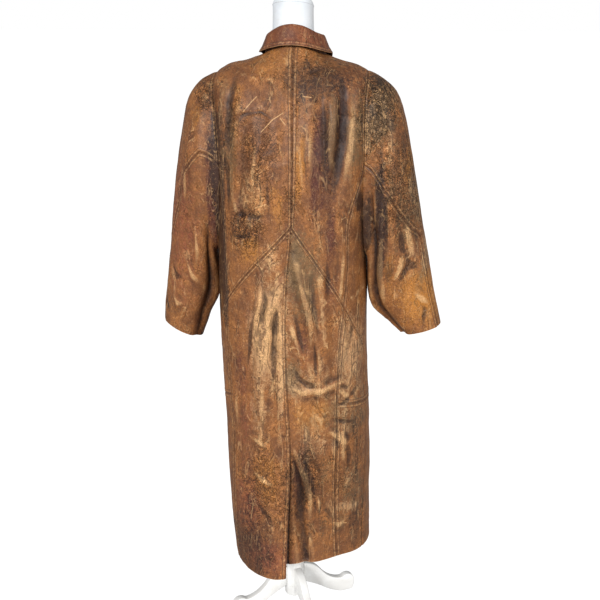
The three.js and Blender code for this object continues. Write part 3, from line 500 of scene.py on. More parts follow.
front_patches = {
    "gold": [
        (-90, 1350, 40, 70, 0.6), (80, 1330, 36, 80, 0.5), (-60, 900, 40, 120, 0.5),
        (90, 760, 36, 150, 0.5), (-110, 480, 40, 120, 0.5), (-300, 930, 50, 90, 0.8),
        (290, 900, 40, 90, 0.6), (50, 420, 40, 90, 0.4),
    ],
    "red": [
        (100, 1100, 40, 140, 0.6), (-30, 640, 40, 160, 0.5), (60, 260, 60, 60, 0.7),
        (260, 1150, 50, 160, 0.6), (-260, 1180, 40, 120, 0.4),
    ],
    "plum": [
        (-130, 1280, 18, 120, 0.7), (126, 1270, 18, 110, 0.7), (-74, 720, 18, 120, 0.5),
        (20, 1060, 18, 120, 0.4), (110, 420, 18, 120, 0.5), (-80, 300, 30, 90, 0.4),
    ],
    "olive": [
        (-60, 1180, 30, 90, 0.6), (60, 940, 30, 80, 0.5), (-110, 620, 34, 80, 0.5),
        (60, 600, 36, 80, 0.5), (-230, 1330, 40, 80, 0.6), (220, 1340, 36, 70, 0.5),
    ],
    "dark": [
        (-150, 1150, 24, 110, 0.5), (150, 1150, 24, 110, 0.5), (0, 300, 60, 60, 0.4),
        (-100, 360, 30, 70, 0.4),
    ],
    "pale": [
        (-88, 900, 12, 120, 0.5), (92, 800, 12, 120, 0.5), (-20, 1240, 14, 60, 0.4),
        (-300, 860, 24, 20, 0.5), (300, 850, 24, 20, 0.5), (-14, 700, 8, 200, 0.4),
    ],
    "crack": [
        (-70, 1250, 50, 90, 0.7), (80, 1000, 40, 90, 0.6), (-80, 520, 50, 100, 0.7),
        (60, 480, 50, 120, 0.6), (230, 1340, 36, 60, 0.7),
    ],
    "gloss": [
        (-290, 930, 50, 110, 0.8), (290, 930, 50, 110, 0.6), (-70, 900, 50, 120, 0.5),
        (80, 740, 50, 120, 0.5),
    ],
}
channels = list(back_patches)
patch_edge = 1.3


def patch_sum(patches, x, z):
    total = np.zeros(x.shape)
    for middle_x, middle_z, half_width, half_height, strength, *tilt in patches:
        turned = math.radians(tilt[0] if tilt else 0)
        c, s = math.cos(turned), math.sin(turned)
        across = ((x - middle_x) * c + (z - middle_z) * s) / half_width
        up = ((z - middle_z) * c - (x - middle_x) * s) / half_height
        total = np.maximum(total, strength * np.exp(-(across ** 2 + up ** 2) ** patch_edge))
    return total


def paint(points, normals):
    """Each channel's strength at some points: the back's places where the leather faces
    back, and the fronts' places where it faces front."""
    facing_back = smoothstep(normals[..., 1], -0.25, 0.15)
    x = points[..., 0]
    z = points[..., 2]
    painted = {}
    for channel in channels:
        behind = patch_sum(back_patches[channel], x, z)
        before = patch_sum(front_patches[channel], x, z)
        painted[channel] = facing_back * behind + (1 - facing_back) * before
    return painted


print("places of wear", {channel: len(back_patches[channel]) for channel in channels})


# %% [markdown]
# ## Unevenness
#
# No worn leather is flat: it has lumps a palm wide and ridges a finger wide. A smooth random
# height gives both, and it is the same whatever the grid, so neighbouring pieces still meet.

# %% Soft noise
def lattice(i, j, k, seed):
    """A number from 0 to 1 that a corner of the lattice always has."""
    mixed = np.sin(i * 127.1 + j * 311.7 + k * 74.7 + seed * 53.3) * 43758.5453
    return mixed - np.floor(mixed)


def cloud(points, size, seed):
    """Smooth noise from -1 to 1 with lumps of about one size, at points in millimetres."""
    scaled = points / size
    base = np.floor(scaled)
    f = scaled - base
    f = f * f * (3 - 2 * f)
    total = 0
    for corner in range(8):
        di, dj, dk = corner & 1, (corner >> 1) & 1, corner >> 2
        share = ((f[..., 0] if di else 1 - f[..., 0]) * (f[..., 1] if dj else 1 - f[..., 1])
                 * (f[..., 2] if dk else 1 - f[..., 2]))
        i, j, k = base[..., 0] + di, base[..., 1] + dj, base[..., 2] + dk
        total = total + share * lattice(i, j, k, seed)
    return 2 * total - 1


def rumple(points):
    """Small unevenness that every worn piece has: tall soft lumps and finer ridges."""
    tall = points * [1, 1, 0.45]
    ridged = 1 - 2 * np.abs(cloud(tall, 34, 3))
    fine = 1 - 2 * np.abs(cloud(points * [1, 1, 0.7], 17, 7))
    return 1.3 * cloud(tall, 60, 1) + 0.9 * ridged + 0.45 * fine


print("rumple at the origin", round(float(rumple(np.zeros((1, 3)))[0]), 3))


# %% [markdown]
# ## A panel of leather
#
# A panel is drawn as a grid between its four seams, then given its thickness: an outer
# face, an inner face and the cut rim between them. The leather dips where it is sewn, so
# every sewn border sinks a little below the face.

# %% A grid between four seams
extra_lines = (1.2, 2.6, 4.5, 9.0, 11.5)
least_step = 0.6


def near_lines(lengths, spacing):
    """Places along a border, counted in the frame's own steps, a spacing apart, with a few
    more near both ends."""
    places = [0.0]
    for k, length in enumerate(lengths):
        count = max(1, int(math.ceil(length / spacing)))
        places.extend(k + (n + 1) / count for n in range(count))
    last = len(lengths)
    for distance in extra_lines:
        places.append(distance / lengths[0])
        places.append(last - distance / lengths[-1])
    places = np.array(sorted(places))
    keep = [True]
    kept = places[0]
    for place in places[1:]:
        k = min(int(place), last - 1)
        keep.append((place - kept) * lengths[k] > least_step or place == last)
        if keep[-1]:
            kept = place
    return places[keep]


def coons(top, bottom, left, right, rows, columns, row_places, column_places):
    a = (row_places / rows)[:, None, None]
    b = (column_places / columns)[None, :, None]
    top_pairs = top(column_places)[None]
    bottom_pairs = bottom(column_places)[None]
    left_pairs = left(row_places)[:, None]
    right_pairs = right(row_places)[:, None]
    from_rows = top_pairs * (1 - a) + bottom_pairs * a
    from_columns = left_pairs * (1 - b) + right_pairs * b
    corners = (top_pairs[:, :1] * (1 - b) + top_pairs[:, -1:] * b) * (1 - a)
    corners = corners + (bottom_pairs[:, :1] * (1 - b) + bottom_pairs[:, -1:] * b) * a
    return from_rows + from_columns - corners


def grid_normals(points):
    down = np.gradient(points, axis=0)
    across = np.gradient(points, axis=1)
    return unit(np.cross(across, down))


def spans(points, axis):
    """Length along a grid's lines from their start."""
    steps = np.linalg.norm(np.diff(points, axis=axis), axis=-1)
    zero = np.zeros_like(np.take(steps, [0], axis=axis))
    return np.concatenate([zero, np.cumsum(steps, axis=axis)], axis=axis)


# %% The wall of a panel
offset = np.array([axis_x * 1000, axis_y * 1000, 0])
leather_sharp_angle = math.radians(55)


def closed_shell(outer, inner):
    """Vertices and faces of a wall between two grids of points."""
    rows, columns = outer.shape[:2]
    index = np.arange(rows * columns).reshape(rows, columns)
    far = index + rows * columns
    a, b = index[:-1, :-1], index[:-1, 1:]
    c, d = index[1:, 1:], index[1:, :-1]
    front = np.stack([a, d, c, b], -1).reshape(-1, 4)
    back = np.stack([far[:-1, :-1], far[:-1, 1:], far[1:, 1:], far[1:, :-1]], -1).reshape(-1, 4)
    loop = np.concatenate([index[0, :-1], index[:-1, -1], index[-1, :0:-1], index[:0:-1, 0]])
    following = np.roll(loop, -1)
    rim = np.stack([loop, following, following + rows * columns, loop + rows * columns], -1)
    points = np.concatenate([outer.reshape(-1, 3), inner.reshape(-1, 3)])
    faces = np.concatenate([front, back, rim])
    return points, faces


def mesh_volume(points, faces):
    a, b, c, d = (points[faces[:, k]] for k in range(4))
    first = np.einsum("ij,ij->i", a, np.cross(b, c)).sum()
    return (first + np.einsum("ij,ij->i", a, np.cross(c, d)).sum()) / 6


def placed(name, data):
    """A new object in the scene."""
    made = bpy.data.objects.new(name, data)
    bpy.context.scene.collection.objects.link(made)
    return made


def mesh_object(name, points, faces, material):
    """A smooth-shaded mesh object from points in millimetres of the coat's own frame."""
    if mesh_volume(points, faces) < 0:
        faces = faces[:, ::-1]
    mesh = bpy.data.meshes.new(name)
    mesh.from_pydata((points + offset) / 1000, [], faces.tolist())
    mesh.polygons.foreach_set("use_smooth", np.ones(len(faces), bool))
    mesh.set_sharp_from_angle(angle=leather_sharp_angle)
    mesh.materials.append(material)
    return placed(name, mesh)


def draw_in(points):
    """Draws a grid's borders in by half a seam gap."""
    inside = points.copy()
    for here, there in ((0, 1), (-1, -2)):
        inside[here] += unit(points[there] - points[here]) * seam_gap / 2
        inside[:, here] += unit(points[:, there] - points[:, here]) * seam_gap / 2
    return inside


# %% [markdown]
# Each panel also tells the leather's finish what lies where: how high a fold stands, how
# deep a trough is, and how far it is to a seam, to a row of stitches or to a cut edge.

# %% Panel
panels = {}
far_away = 1e3
mark_reach = 60
fold_scale = {"height": 3.2, "crease": 1.6, "depth": 14}
rumple_height = 0.9
seam_dip = {"depth": 1.2, "width": 2.4}
doubled_leather = {"height": 0.6, "reach": 12.0, "full": 2.5}


def against_surroundings(height, reach=4):
    """How far each spot stands above the average of its surroundings on the grid."""
    around = height
    for axis in (0, 1):
        padding = [(reach + 1, reach) if k == axis else (0, 0) for k in range(2)]
        total = np.cumsum(np.pad(around, padding, mode="edge"), axis=axis)
        window = 2 * reach + 1
        around = (np.take(total, range(window, total.shape[axis]), axis)
                  - np.take(total, range(total.shape[axis] - window), axis)) / window
    return height - around


def plain_relief(middle, pairs):
    none = np.zeros(middle.shape[:2])
    return none, none


def nearest_of(distances, chosen):
    """Distance to the nearest of the chosen borders."""
    nearest = np.full(distances[0].shape, far_away)
    for distance, letter in zip(distances, "TBLR"):
        if letter in chosen:
            nearest = np.minimum(nearest, distance)
    return nearest


def write_mark(piece, name, values):
    attribute = piece.data.attributes.new(name, "FLOAT", "POINT")
    attribute.data.foreach_set("value", values)


def panel(name, surface, outward_at, borders, rows, columns, material, spacing=(5, 4),
          sewn="TBLR", relief=plain_relief, stitched=None):
    """A closed panel between its top, bottom, left and right border. sewn names those that
    dip into a seam by their letters, and stitched those that have rows of thread."""
    coarse = coons(*borders, rows, columns, np.arange(rows + 1.0), np.arange(columns + 1.0))
    coarse = surface(coarse[..., 0], coarse[..., 1])
    row_lengths = np.linalg.norm(np.diff(coarse, axis=0), axis=-1).mean(axis=1)
    column_lengths = np.linalg.norm(np.diff(coarse, axis=1), axis=-1).mean(axis=0)
    row_places = near_lines(row_lengths, spacing[0])
    column_places = near_lines(column_lengths, spacing[1])
    pairs = coons(*borders, rows, columns, row_places, column_places)
    middle = surface(pairs[..., 0], pairs[..., 1])
    normals = grid_normals(middle)
    if np.einsum("ijk,ijk->ij", normals, outward_at(pairs, middle)).mean() < 0:
        normals = -normals
    from_top = spans(middle, 0)
    from_left = spans(middle, 1)
    from_bottom = from_top[-1:] - from_top
    from_right = from_left[:, -1:] - from_left
    distances = [from_top, from_bottom, from_left, from_right]
    sewn_distance = nearest_of(distances, sewn)
    large, small = relief(middle, pairs)
    middle = middle + normals * (small + rumple_height * rumple(middle))[..., None]
    turned = grid_normals(middle)
    same_way = np.einsum("ijk,ijk->ij", turned, normals)[..., None] > 0
    normals = np.where(same_way, turned, -turned)
    stitched_distance = nearest_of(distances, stitched or sewn)
    dip = seam_dip["depth"] * bell(sewn_distance, seam_dip["width"])
    past_edge = doubled_leather["reach"] - stitched_distance
    doubled = doubled_leather["height"] * smoothstep(past_edge, 0, doubled_leather["full"])
    middle = draw_in(middle)
    outer = middle + normals * (wall / 2 - dip + doubled)[..., None]
    inner = middle - normals * (wall / 2)
    points, faces = closed_shell(outer, inner)
    piece = mesh_object(f"{name}_leather", points, faces, material)
    marks = paint(middle, normals)
    standing = against_surroundings(large + fold_scale["crease"] * small)
    marks["fold"] = np.clip(standing / fold_scale["height"], -1, 1)
    marks["depth"] = np.clip(-(large + small) / fold_scale["depth"], 0, 1)
    to_seam = {"seam": sewn_distance, "stitched": stitched_distance,
               "edge": np.min(np.stack(distances), axis=0)}
    for label, distance in to_seam.items():
        marks[label] = np.minimum(distance, mark_reach) / 1000
    for label, values in marks.items():
        write_mark(piece, label, np.tile(values.ravel(), 2))
    write_mark(piece, "inside", np.repeat([0.0, 1.0], middle[..., 0].size))
    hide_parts(name)
    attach(piece, "root")
    down = middle[1:, :-1] - middle[:-1, :-1]
    across = middle[:-1, 1:] - middle[:-1, :-1]
    panels[name] = {
        "piece": piece, "outer": outer, "normals": normals, "distances": distances,
        "area": float(np.linalg.norm(np.cross(down, across), axis=-1).sum()) / 1e6,
        "size": (float(from_left[:, -1].max()) / 1000, float(from_top[-1].max()) / 1000),
    }
    print(name, len(faces) * 2, "triangles", panels[name]["size"], round(panels[name]["area"], 3))
    return piece


# %% [markdown]
# ## Mixing colours
#
# A finisher sprays, rubs and scratches in layers. The colours here are mixed the same way,
# layer over layer, so a few helpers make each layer one short line.

# %% Node helpers
def paint_colour(red, green, blue):
    """A colour given as a painter's mixing values from 0 to 255, as the renderer wants it."""
    def linear(value):
        value = value / 255
        return value / 12.92 if value <= 0.04045 else ((value + 0.055) / 1.055) ** 2.4
    return (linear(red), linear(green), linear(blue), 1)


def put(tree, socket, value):
    if isinstance(value, bpy.types.NodeSocket):
        tree.links.new(value, socket)
    else:
        socket.default_value = value


def add_node(tree, kind, settings=None, **inputs):
    """A node with its settings and its inputs, each a value or the output of another node."""
    made = tree.nodes.new(kind)
    for key, value in (settings or {}).items():
        setattr(made, key, value)
    for key, value in inputs.items():
        place = int(key[1:]) if key[0] == "n" and key[1:].isdigit() else key.replace("_", " ")
        put(tree, made.inputs[place], value)
    return made


class Tree:
    """A short way to write a material's nodes: every call adds one node and gives its output."""

    def __init__(self, name):
        self.material = bpy.data.materials.new(name)
        self.material.use_nodes = True
        self.tree = self.material.node_tree
        self.shader = self.tree.nodes["Principled BSDF"]
        self.place = self.add("ShaderNodeTexCoord", 3)

    def add(self, kind, output=0, settings=None, **inputs):
        return add_node(self.tree, kind, settings, **inputs).outputs[output]

    def calc(self, operation, first, second=0.0, third=0.0, clamp=False):
        return self.add("ShaderNodeMath", 0, {"operation": operation, "use_clamp": clamp},
                        n0=first, n1=second, n2=third)

    def times(self, first, second):
        return self.calc("MULTIPLY", first, second)

    def plus(self, first, second):
        return self.calc("ADD", first, second)

    def minus(self, first, second):
        return self.calc("SUBTRACT", first, second)

    def most(self, first, second):
        return self.calc("MAXIMUM", first, second)

    def scaled(self, value, factor, start):
        return self.calc("MULTIPLY_ADD", value, factor, start)

    def off(self, value, wanted):
        return self.calc("ABSOLUTE", self.minus(value, wanted))

    def vector(self, operation, first, second=(0.0, 0.0, 0.0), output=0, **inputs):
        return self.add("ShaderNodeVectorMath", output, {"operation": operation},
                        n0=first, n1=second, **inputs)

    def ramp(self, value, low, high, low_out=0.0, high_out=1.0):
        return self.add("ShaderNodeMapRange", 0, {"interpolation_type": "SMOOTHSTEP"},
                        Value=value, From_Min=low, From_Max=high, To_Min=low_out, To_Max=high_out)

    def noise(self, vector, scale, detail=3.0, roughness=0.55, kind="FBM", distortion=0.0):
        return self.add("ShaderNodeTexNoise", 0, {"noise_type": kind}, Vector=vector, Scale=scale,
                        Detail=detail, Roughness=roughness, Distortion=distortion)

    def mark(self, name):
        return self.add("ShaderNodeAttribute", 2, {"attribute_name": name})

    def mix(self, share, first, second, blend="MIX"):
        return self.add("ShaderNodeMix", 2, {"data_type": "RGBA", "blend_type": blend},
                        n0=share, n6=first, n7=second)

    def stretch(self, x, y, z):
        return self.add("ShaderNodeMapping", 0, None, Vector=self.place, Scale=(x, y, z))

    def cell_edges(self, vector, scale):
        return self.add("ShaderNodeTexVoronoi", 0, {"feature": "DISTANCE_TO_EDGE"},
                        Vector=vector, Scale=scale)

    def surface(self, colour, roughness):
        put(self.tree, self.shader.inputs["Base Color"], colour)
        put(self.tree, self.shader.inputs["Roughness"], roughness)

    def bump(self, height, strength, distance):
        made = self.add("ShaderNodeBump", 0, None, Strength=strength, Distance=distance, Height=height)
        put(self.tree, self.shader.inputs["Normal"], made)


# %% [markdown]
# ## The leather's finish
#
# The hide was dyed brown and has aged unevenly. Over the dye come the mapped places of wear,
# dirt, painted shade and painted highlight, then dirt in the grain, cracks, wrinkles, crumple,
# scratches and folds, whose crests carry a painted highlight that is partly rubbed wear and
# whose troughs carry painted shade, and last painted shade and dirt in the grooves of the seams.
# Grain and cracks also raise and lower the light on it.

# %% Colours and lines of the leather
# Tints of the mapped places. Where the places say so, the dark tint is painted shade and the pale tint
# painted highlight.
leather_colours = {
    "gold": paint_colour(184, 120, 50),
    "red": paint_colour(146, 80, 52),
    "plum": paint_colour(78, 34, 27),
    "olive": paint_colour(114, 90, 60),
    "dark": paint_colour(44, 25, 16),
    "pale": paint_colour(222, 176, 128),
}
# The dark brown darkens real dirt and also paints shade in fold troughs, at crease feet and in seam
# grooves; the light tan lightens real wear and also paints highlights on fold ridges and crests.
dirt_and_shade_colour = paint_colour(34, 18, 12)
rubbed_and_highlight_colour = paint_colour(222, 174, 120)

# Scratches on the back, each from one x and z to another in millimetres.
scratches = [((96, 1345), (78, 1366)), ((78, 1366), (66, 1378)), ((52, 1302), (28, 1328)),
             ((28, 1328), (4, 1344)), ((10, 1332), (-2, 1318)), ((-58, 1378), (-40, 1380)),
             ((40, 1140), (66, 1130)), ((-150, 300), (-120, 312))]
scratch_width = 0.0016
# Thin crests of the skirt's folds, lit by a painted highlight that is partly rubbed wear, in the same way.
rubbed_crest_highlights = [((-46, 990), (-101, 798)), ((-89, 965), (-101, 803)), ((-21, 803), (-84, 735)),
                 ((-190, 945), (-157, 908)), ((14, 978), (61, 840)), ((61, 840), (52, 735)),
                 ((-1, 957), (37, 852)), ((13, 840), (11, 765)), ((11, 765), (33, 665))]
crest_width = 0.0042


class Hide(Tree):
    """A tree with the noises and marks that several layers of the leather share."""

    def __init__(self, name):
        super().__init__(name)
        self.lumps = self.noise(self.place, 22, 5, 0.65)
        self.streaks = self.noise(self.stretch(1, 1, 0.3), 52, 5, 0.65)
        self.blots = self.noise(self.place, 96, 5, 0.68)
        self.fine = self.noise(self.place, 230, 4, 0.75)
        self.grit = self.noise(self.place, 260, 4, 0.72)
        self.rub = self.noise(self.stretch(1, 1, 0.8), 170, 5, 0.78)
        self.ragged = self.times(self.plus(self.plus(self.streaks, self.blots), self.grit), 1 / 3)
        self.warp = self.add("ShaderNodeTexNoise", 1, None, Vector=self.place, Scale=60.0, Detail=3.0)
        self.crack = self.mark("crack")
        self.pale = self.mark("pale")

    def bent(self, amount, place):
        return self.vector("MULTIPLY_ADD", self.warp, amount, n2=place)


# %% Dye, dirt, painted shade and painted highlight
def dye(t, base, strength):
    """The dye, faded in lumps, with the mapped places of wear, dirt, painted shade and painted highlight
    over it.
    """
    dull = (base[0] * 0.62, base[1] * 0.6, base[2] * 0.66, 1)
    warm = (base[0] * 1.24, base[1] * 1.26, base[2] * 1.16, 1)
    colour = t.mix(t.ramp(t.lumps, 0.34, 0.66), dull, warm)
    for channel, tint in leather_colours.items():
        broken_up = t.plus(t.times(t.mark(channel), strength), t.scaled(t.ragged, 3.2, -1.6))
        share = t.ramp(broken_up, 0.2, 0.9, 0.0, 0.6 if channel == "pale" else 0.88)
        colour = t.mix(share, colour, tint)
    return colour


def speckle(t, colour):
    """Dark where dirt sits in the grain, light where the grain's tops are rubbed."""
    dirty = t.times(t.ramp(t.fine, 0.52, 0.66), t.scaled(t.crack, 0.6, 0.1))
    colour = t.mix(dirty, colour, dirt_and_shade_colour)
    rubbed = t.times(t.ramp(t.rub, 0.55, 0.72), t.scaled(t.pale, 0.45, 0.3))
    return t.mix(rubbed, colour, rubbed_and_highlight_colour)


# %% Cracks and wrinkles
def cracks(t, colour):
    """Edges of warped cells, open only where the leather has dried."""
    edges = t.cell_edges(t.bent((0.02, 0.02, 0.02), t.place), 150.0)
    line = t.minus(1.0, t.ramp(edges, 0.0, 0.11))
    open_here = t.ramp(t.plus(t.crack, t.scaled(t.blots, 1.0, -0.5)), 0.25, 0.8)
    share = t.times(line, open_here)
    return t.mix(t.times(share, 0.6), colour, dirt_and_shade_colour), share


def wrinkles(t, colour):
    """Thin dark lines that wander, more of them where the leather cracked."""
    edges = t.cell_edges(t.bent((0.05, 0.05, 0.05), t.stretch(1, 1, 0.7)), 46.0)
    line = t.minus(1.0, t.ramp(edges, 0.0, 0.085))
    here = t.ramp(t.plus(t.times(t.crack, 0.35), t.lumps), 0.5, 0.8, 0.12, 1.0)
    share = t.times(t.times(line, here), t.ramp(t.grit, 0.4, 0.6, 0.3, 1.0))
    return t.mix(t.times(share, 0.7), colour, dirt_and_shade_colour), share


# %% Scratches and painted highlights on crests
def on_line(t, place, start, end, width):
    """1 on a thin line across the back, 0 away from it."""
    run = np.subtract(end, start) / 1000
    length = float(np.hypot(*run))
    direction = (run[0] / length, 0.0, run[1] / length)
    moved = t.vector("SUBTRACT", place, (start[0] / 1000 + axis_x, 0.0, start[1] / 1000))
    level = t.vector("MULTIPLY", moved, (1.0, 0.0, 1.0))
    far = t.vector("DOT_PRODUCT", level, direction, output=1)
    held = t.calc("MINIMUM", t.most(far, 0.0), length)
    nearest = t.vector("SCALE", direction, Scale=held)
    away_from = t.vector("DISTANCE", level, nearest, output=1)
    behind = t.ramp(t.add("ShaderNodeSeparateXYZ", 1, None, Vector=place), 0.0, 0.03)
    return t.times(t.ramp(away_from, width, width * 0.2), behind)


def scratches_and_crest_highlights(t, colour):
    """Pale lines where something scored the back, and a painted highlight, partly rubbed wear, along the
    crests of the skirt's folds.
    """
    for start, end in scratches:
        scored = on_line(t, t.place, start, end, scratch_width)
        colour = t.mix(t.times(scored, t.ramp(t.grit, 0.3, 0.5, 0.2, 0.8)), colour, rubbed_and_highlight_colour)
    wandering = t.vector("SUBTRACT", t.bent((0.04, 0.0, 0.04), t.place), (0.02, 0.0, 0.02))
    for start, end in rubbed_crest_highlights:
        worn = on_line(t, wandering, start, end, crest_width)
        colour = t.mix(t.times(worn, t.ramp(t.streaks, 0.4, 0.6, 0.08, 0.6)), colour, rubbed_and_highlight_colour)
    return colour


# %% Crumple and folds: painted highlight and painted shade
def near(t, value, wanted, width):
    """1 where a noise passes one value, 0 a width away: thin lines that wander."""
    return t.ramp(t.off(value, wanted), width, width * 0.2)


def crumple(t, colour):
    """Small sharp creases drawn into the colour: a painted highlight, partly rubbed wear, on their crests
    and painted shade at their feet.
    """
    swell = t.noise(t.stretch(1, 1, 0.26), 17, 2.5, 0.5)
    small_swell = t.noise(t.stretch(1, 1, 0.6), 38, 2.0, 0.5)
    crumpled = t.ramp(t.scaled(t.pale, 0.2, t.streaks), 0.46, 0.7, 0.06, 1.0)
    crest = t.most(near(t, swell, 0.47, 0.014), near(t, small_swell, 0.5, 0.018))
    crest = t.times(t.most(crest, near(t, swell, 0.58, 0.014)), crumpled)
    foot = t.most(near(t, swell, 0.495, 0.022), near(t, small_swell, 0.535, 0.026))
    foot = t.times(t.most(foot, near(t, swell, 0.555, 0.02)), crumpled)
    colour = t.mix(t.times(foot, 0.5), colour, dirt_and_shade_colour)
    return t.mix(t.times(crest, 0.45), colour, rubbed_and_highlight_colour), crest, foot


def fold_wear_highlight_and_shade(t, colour):
    """Painted highlight along the ridges, partly rubbed wear, and painted shade in the troughs and deep
    hollows.
    """
    fold = t.mark("fold")
    dark_here = t.most(t.mark("plum"), t.mark("dark"))
    ridge = t.times(t.ramp(fold, 0.2, 0.85), t.ramp(t.ragged, 0.4, 0.6, 0.3, 0.85))
    ridge = t.times(ridge, t.ramp(dark_here, 0.1, 0.6, 1.0, 0.3))
    colour = t.mix(ridge, colour, rubbed_and_highlight_colour)
    trough = t.most(t.ramp(fold, -0.05, -0.6, 0.0, 0.85), t.ramp(t.mark("depth"), 0.25, 1.0))
    trough = t.times(trough, t.ramp(t.blots, 0.35, 0.6, 0.95, 0.7))
    return t.mix(trough, colour, dirt_and_shade_colour)


# %% Grain and seams
def shaded_grain(t, colour, grain):
    """Every pore is a little darker and every bump between pores a little lighter."""
    dots = t.noise(t.place, 380, 3, 0.8)
    shade = t.times(t.ramp(dots, 0.3, 0.7, 1 - 0.6 * grain, 1 + 0.55 * grain),
                    t.ramp(t.rub, 0.3, 0.7, 1 - 0.3 * grain, 1 + 0.3 * grain))
    shown = t.plus(t.ramp(t.crack, 0.1, 0.7, 0.42, 0.85), t.ramp(t.lumps, 0.45, 0.65, 0.0, 0.3))
    shade = t.scaled(shown, t.minus(shade, 1.0), 1.0)
    return t.vector("SCALE", colour, Scale=shade)


def seams_worn_and_shaded(t, colour, inner):
    """Painted shade and dirt in the groove, wear on the doubled leather beside it, and the flesh side
    within.
    """
    seam = t.mark("seam")
    stitched = t.mark("stitched")
    # The seam's groove is darkened: painted shade, with dirt.
    colour = t.mix(t.times(t.ramp(seam, 0.0018, 0.0002), 0.6), colour, dirt_and_shade_colour)
    band = t.ramp(t.off(stitched, 0.0062), 0.0038, 0.0012)
    colour = t.mix(t.times(band, t.ramp(t.rub, 0.42, 0.66, 0.0, 0.4)), colour, rubbed_and_highlight_colour)
    for line_at in (0.0030, 0.0095):
        drawn = t.ramp(t.off(stitched, line_at), 0.0015, 0.0004)
        colour = t.mix(t.times(drawn, t.ramp(t.blots, 0.3, 0.6, 0.3, 0.65)), colour, dirt_and_shade_colour)
    free_edge = t.times(t.ramp(t.mark("edge"), 0.0016, 0.0), t.ramp(seam, 0.002, 0.006))
    cut_edge = t.times(free_edge, t.ramp(t.blots, 0.35, 0.6, 0.2, 0.6))
    colour = t.mix(cut_edge, colour, rubbed_and_highlight_colour)
    return t.mix(t.mark("inside"), colour, t.mix(t.ramp(t.blots, 0.3, 0.7), inner, dirt_and_shade_colour))


# %% Leather
def leather_material(name, base, strength, grain, inner):
    """Worn leather, with painted shade and painted highlight in its folds, creases and seam grooves.
    base is its dye, strength how strongly the mapped places of wear, dirt, painted shade and
    painted highlight show, grain how deep its grain is, and inner the colour of the flesh side."""
    t = Hide(name)
    colour = speckle(t, dye(t, base, strength))
    colour, crack_share = cracks(t, colour)
    colour, wrinkle_share = wrinkles(t, colour)
    colour = scratches_and_crest_highlights(t, colour)
    colour, crest, foot = crumple(t, colour)
    colour = shaded_grain(t, fold_wear_highlight_and_shade(t, colour), grain)
    colour = seams_worn_and_shaded(t, colour, inner)
    rough = t.minus(t.scaled(t.blots, 0.3, 0.36), t.times(t.mark("gloss"), 0.14))
    rough = t.calc("ADD", rough, t.times(t.mark("inside"), 0.3), clamp=True)
    t.surface(colour, rough)
    t.shader.inputs["Specular IOR Level"].default_value = 0.34
    t.shader.inputs["Coat Weight"].default_value = 0.08
    t.shader.inputs["Coat Roughness"].default_value = 0.3

    pebbles = t.add("ShaderNodeTexVoronoi", 0, {"feature": "F1"}, Vector=t.place, Scale=520.0)
    height = t.plus(t.times(pebbles, 0.25 * grain), t.times(t.fine, 0.5 * grain))
    height = t.plus(height, t.minus(t.times(crest, 0.3), t.times(foot, 0.35)))
    height = t.minus(height, t.times(crack_share, 0.6))
    height = t.minus(height, t.times(wrinkle_share, 0.9))
    t.bump(height, 1.0, 0.0032)
    return t.material


flesh_side = paint_colour(92, 62, 42)
brown = leather_material("brown_leather", paint_colour(144, 91, 49), 1.0, 1.0, flesh_side)
collar_brown = leather_material("collar_leather", paint_colour(122, 68, 40), 0.35, 0.6, flesh_side)
# A darker copy of the coat's leather, painted shade for the strip inside the vent.
vent_shaded_brown = leather_material("inner_leather", paint_colour(76, 46, 32), 0.6, 1.4, flesh_side)
print("nodes in the leather", len(brown.node_tree.nodes))


# %% [markdown]
# ## The back, sides and fronts
#
# The body is sewn from upper backs, skirts, side panels and fronts. Each lies between four
# seams, so each is made by naming its top, bottom, left and right border.

# %% Body panels
front_edge_angle = 189.0
overlap = {"lift": 3.2, "from": 147, "full": 162}


def skirt_rings(top, level):
    above = np.linspace(top, level, rows_above_level + 1)
    below = np.linspace(level, hem_ring, skirt_rows - rows_above_level + 1)
    return np.concatenate([above, below[1:]])


def middle_beside(outer, share):
    """The middle seam next to an outer border, ring for ring."""
    return lambda p: middle_line(outer(p)[:, 1] * share)


def front_edge_beside(outer, side):
    """The cut front edge next to an outer border, ring for ring."""
    return lambda p: np.stack([np.full(len(p), side * front_edge_angle), outer(p)[:, 1]], -1)


def overlap_lift(angle):
    """How far the upper front stands off, so that it lies over the lower one."""
    return overlap["lift"] * smoothstep(np.abs(angle), overlap["from"], overlap["full"])


def body_panel(name, side, borders, rows, columns, sewn, layer=None, spacing=(5, 4), material=None,
               stitched=None):
    def surface(angle, v):
        return body_surface(angle, v, side, 0 if layer is None else layer(angle))

    def outward(pairs, middle):
        flat = middle.copy()
        flat[..., 2] = 0
        return unit(flat)

    def relief(middle, pairs):
        return (both_faces(pairs[..., 0], middle, back_folds, front_folds),
                both_faces(pairs[..., 0], middle, back_creases, front_creases))

    piece = panel(name, surface, outward, borders, rows, columns, material or brown, spacing, sewn,
                  relief, stitched)
    return piece


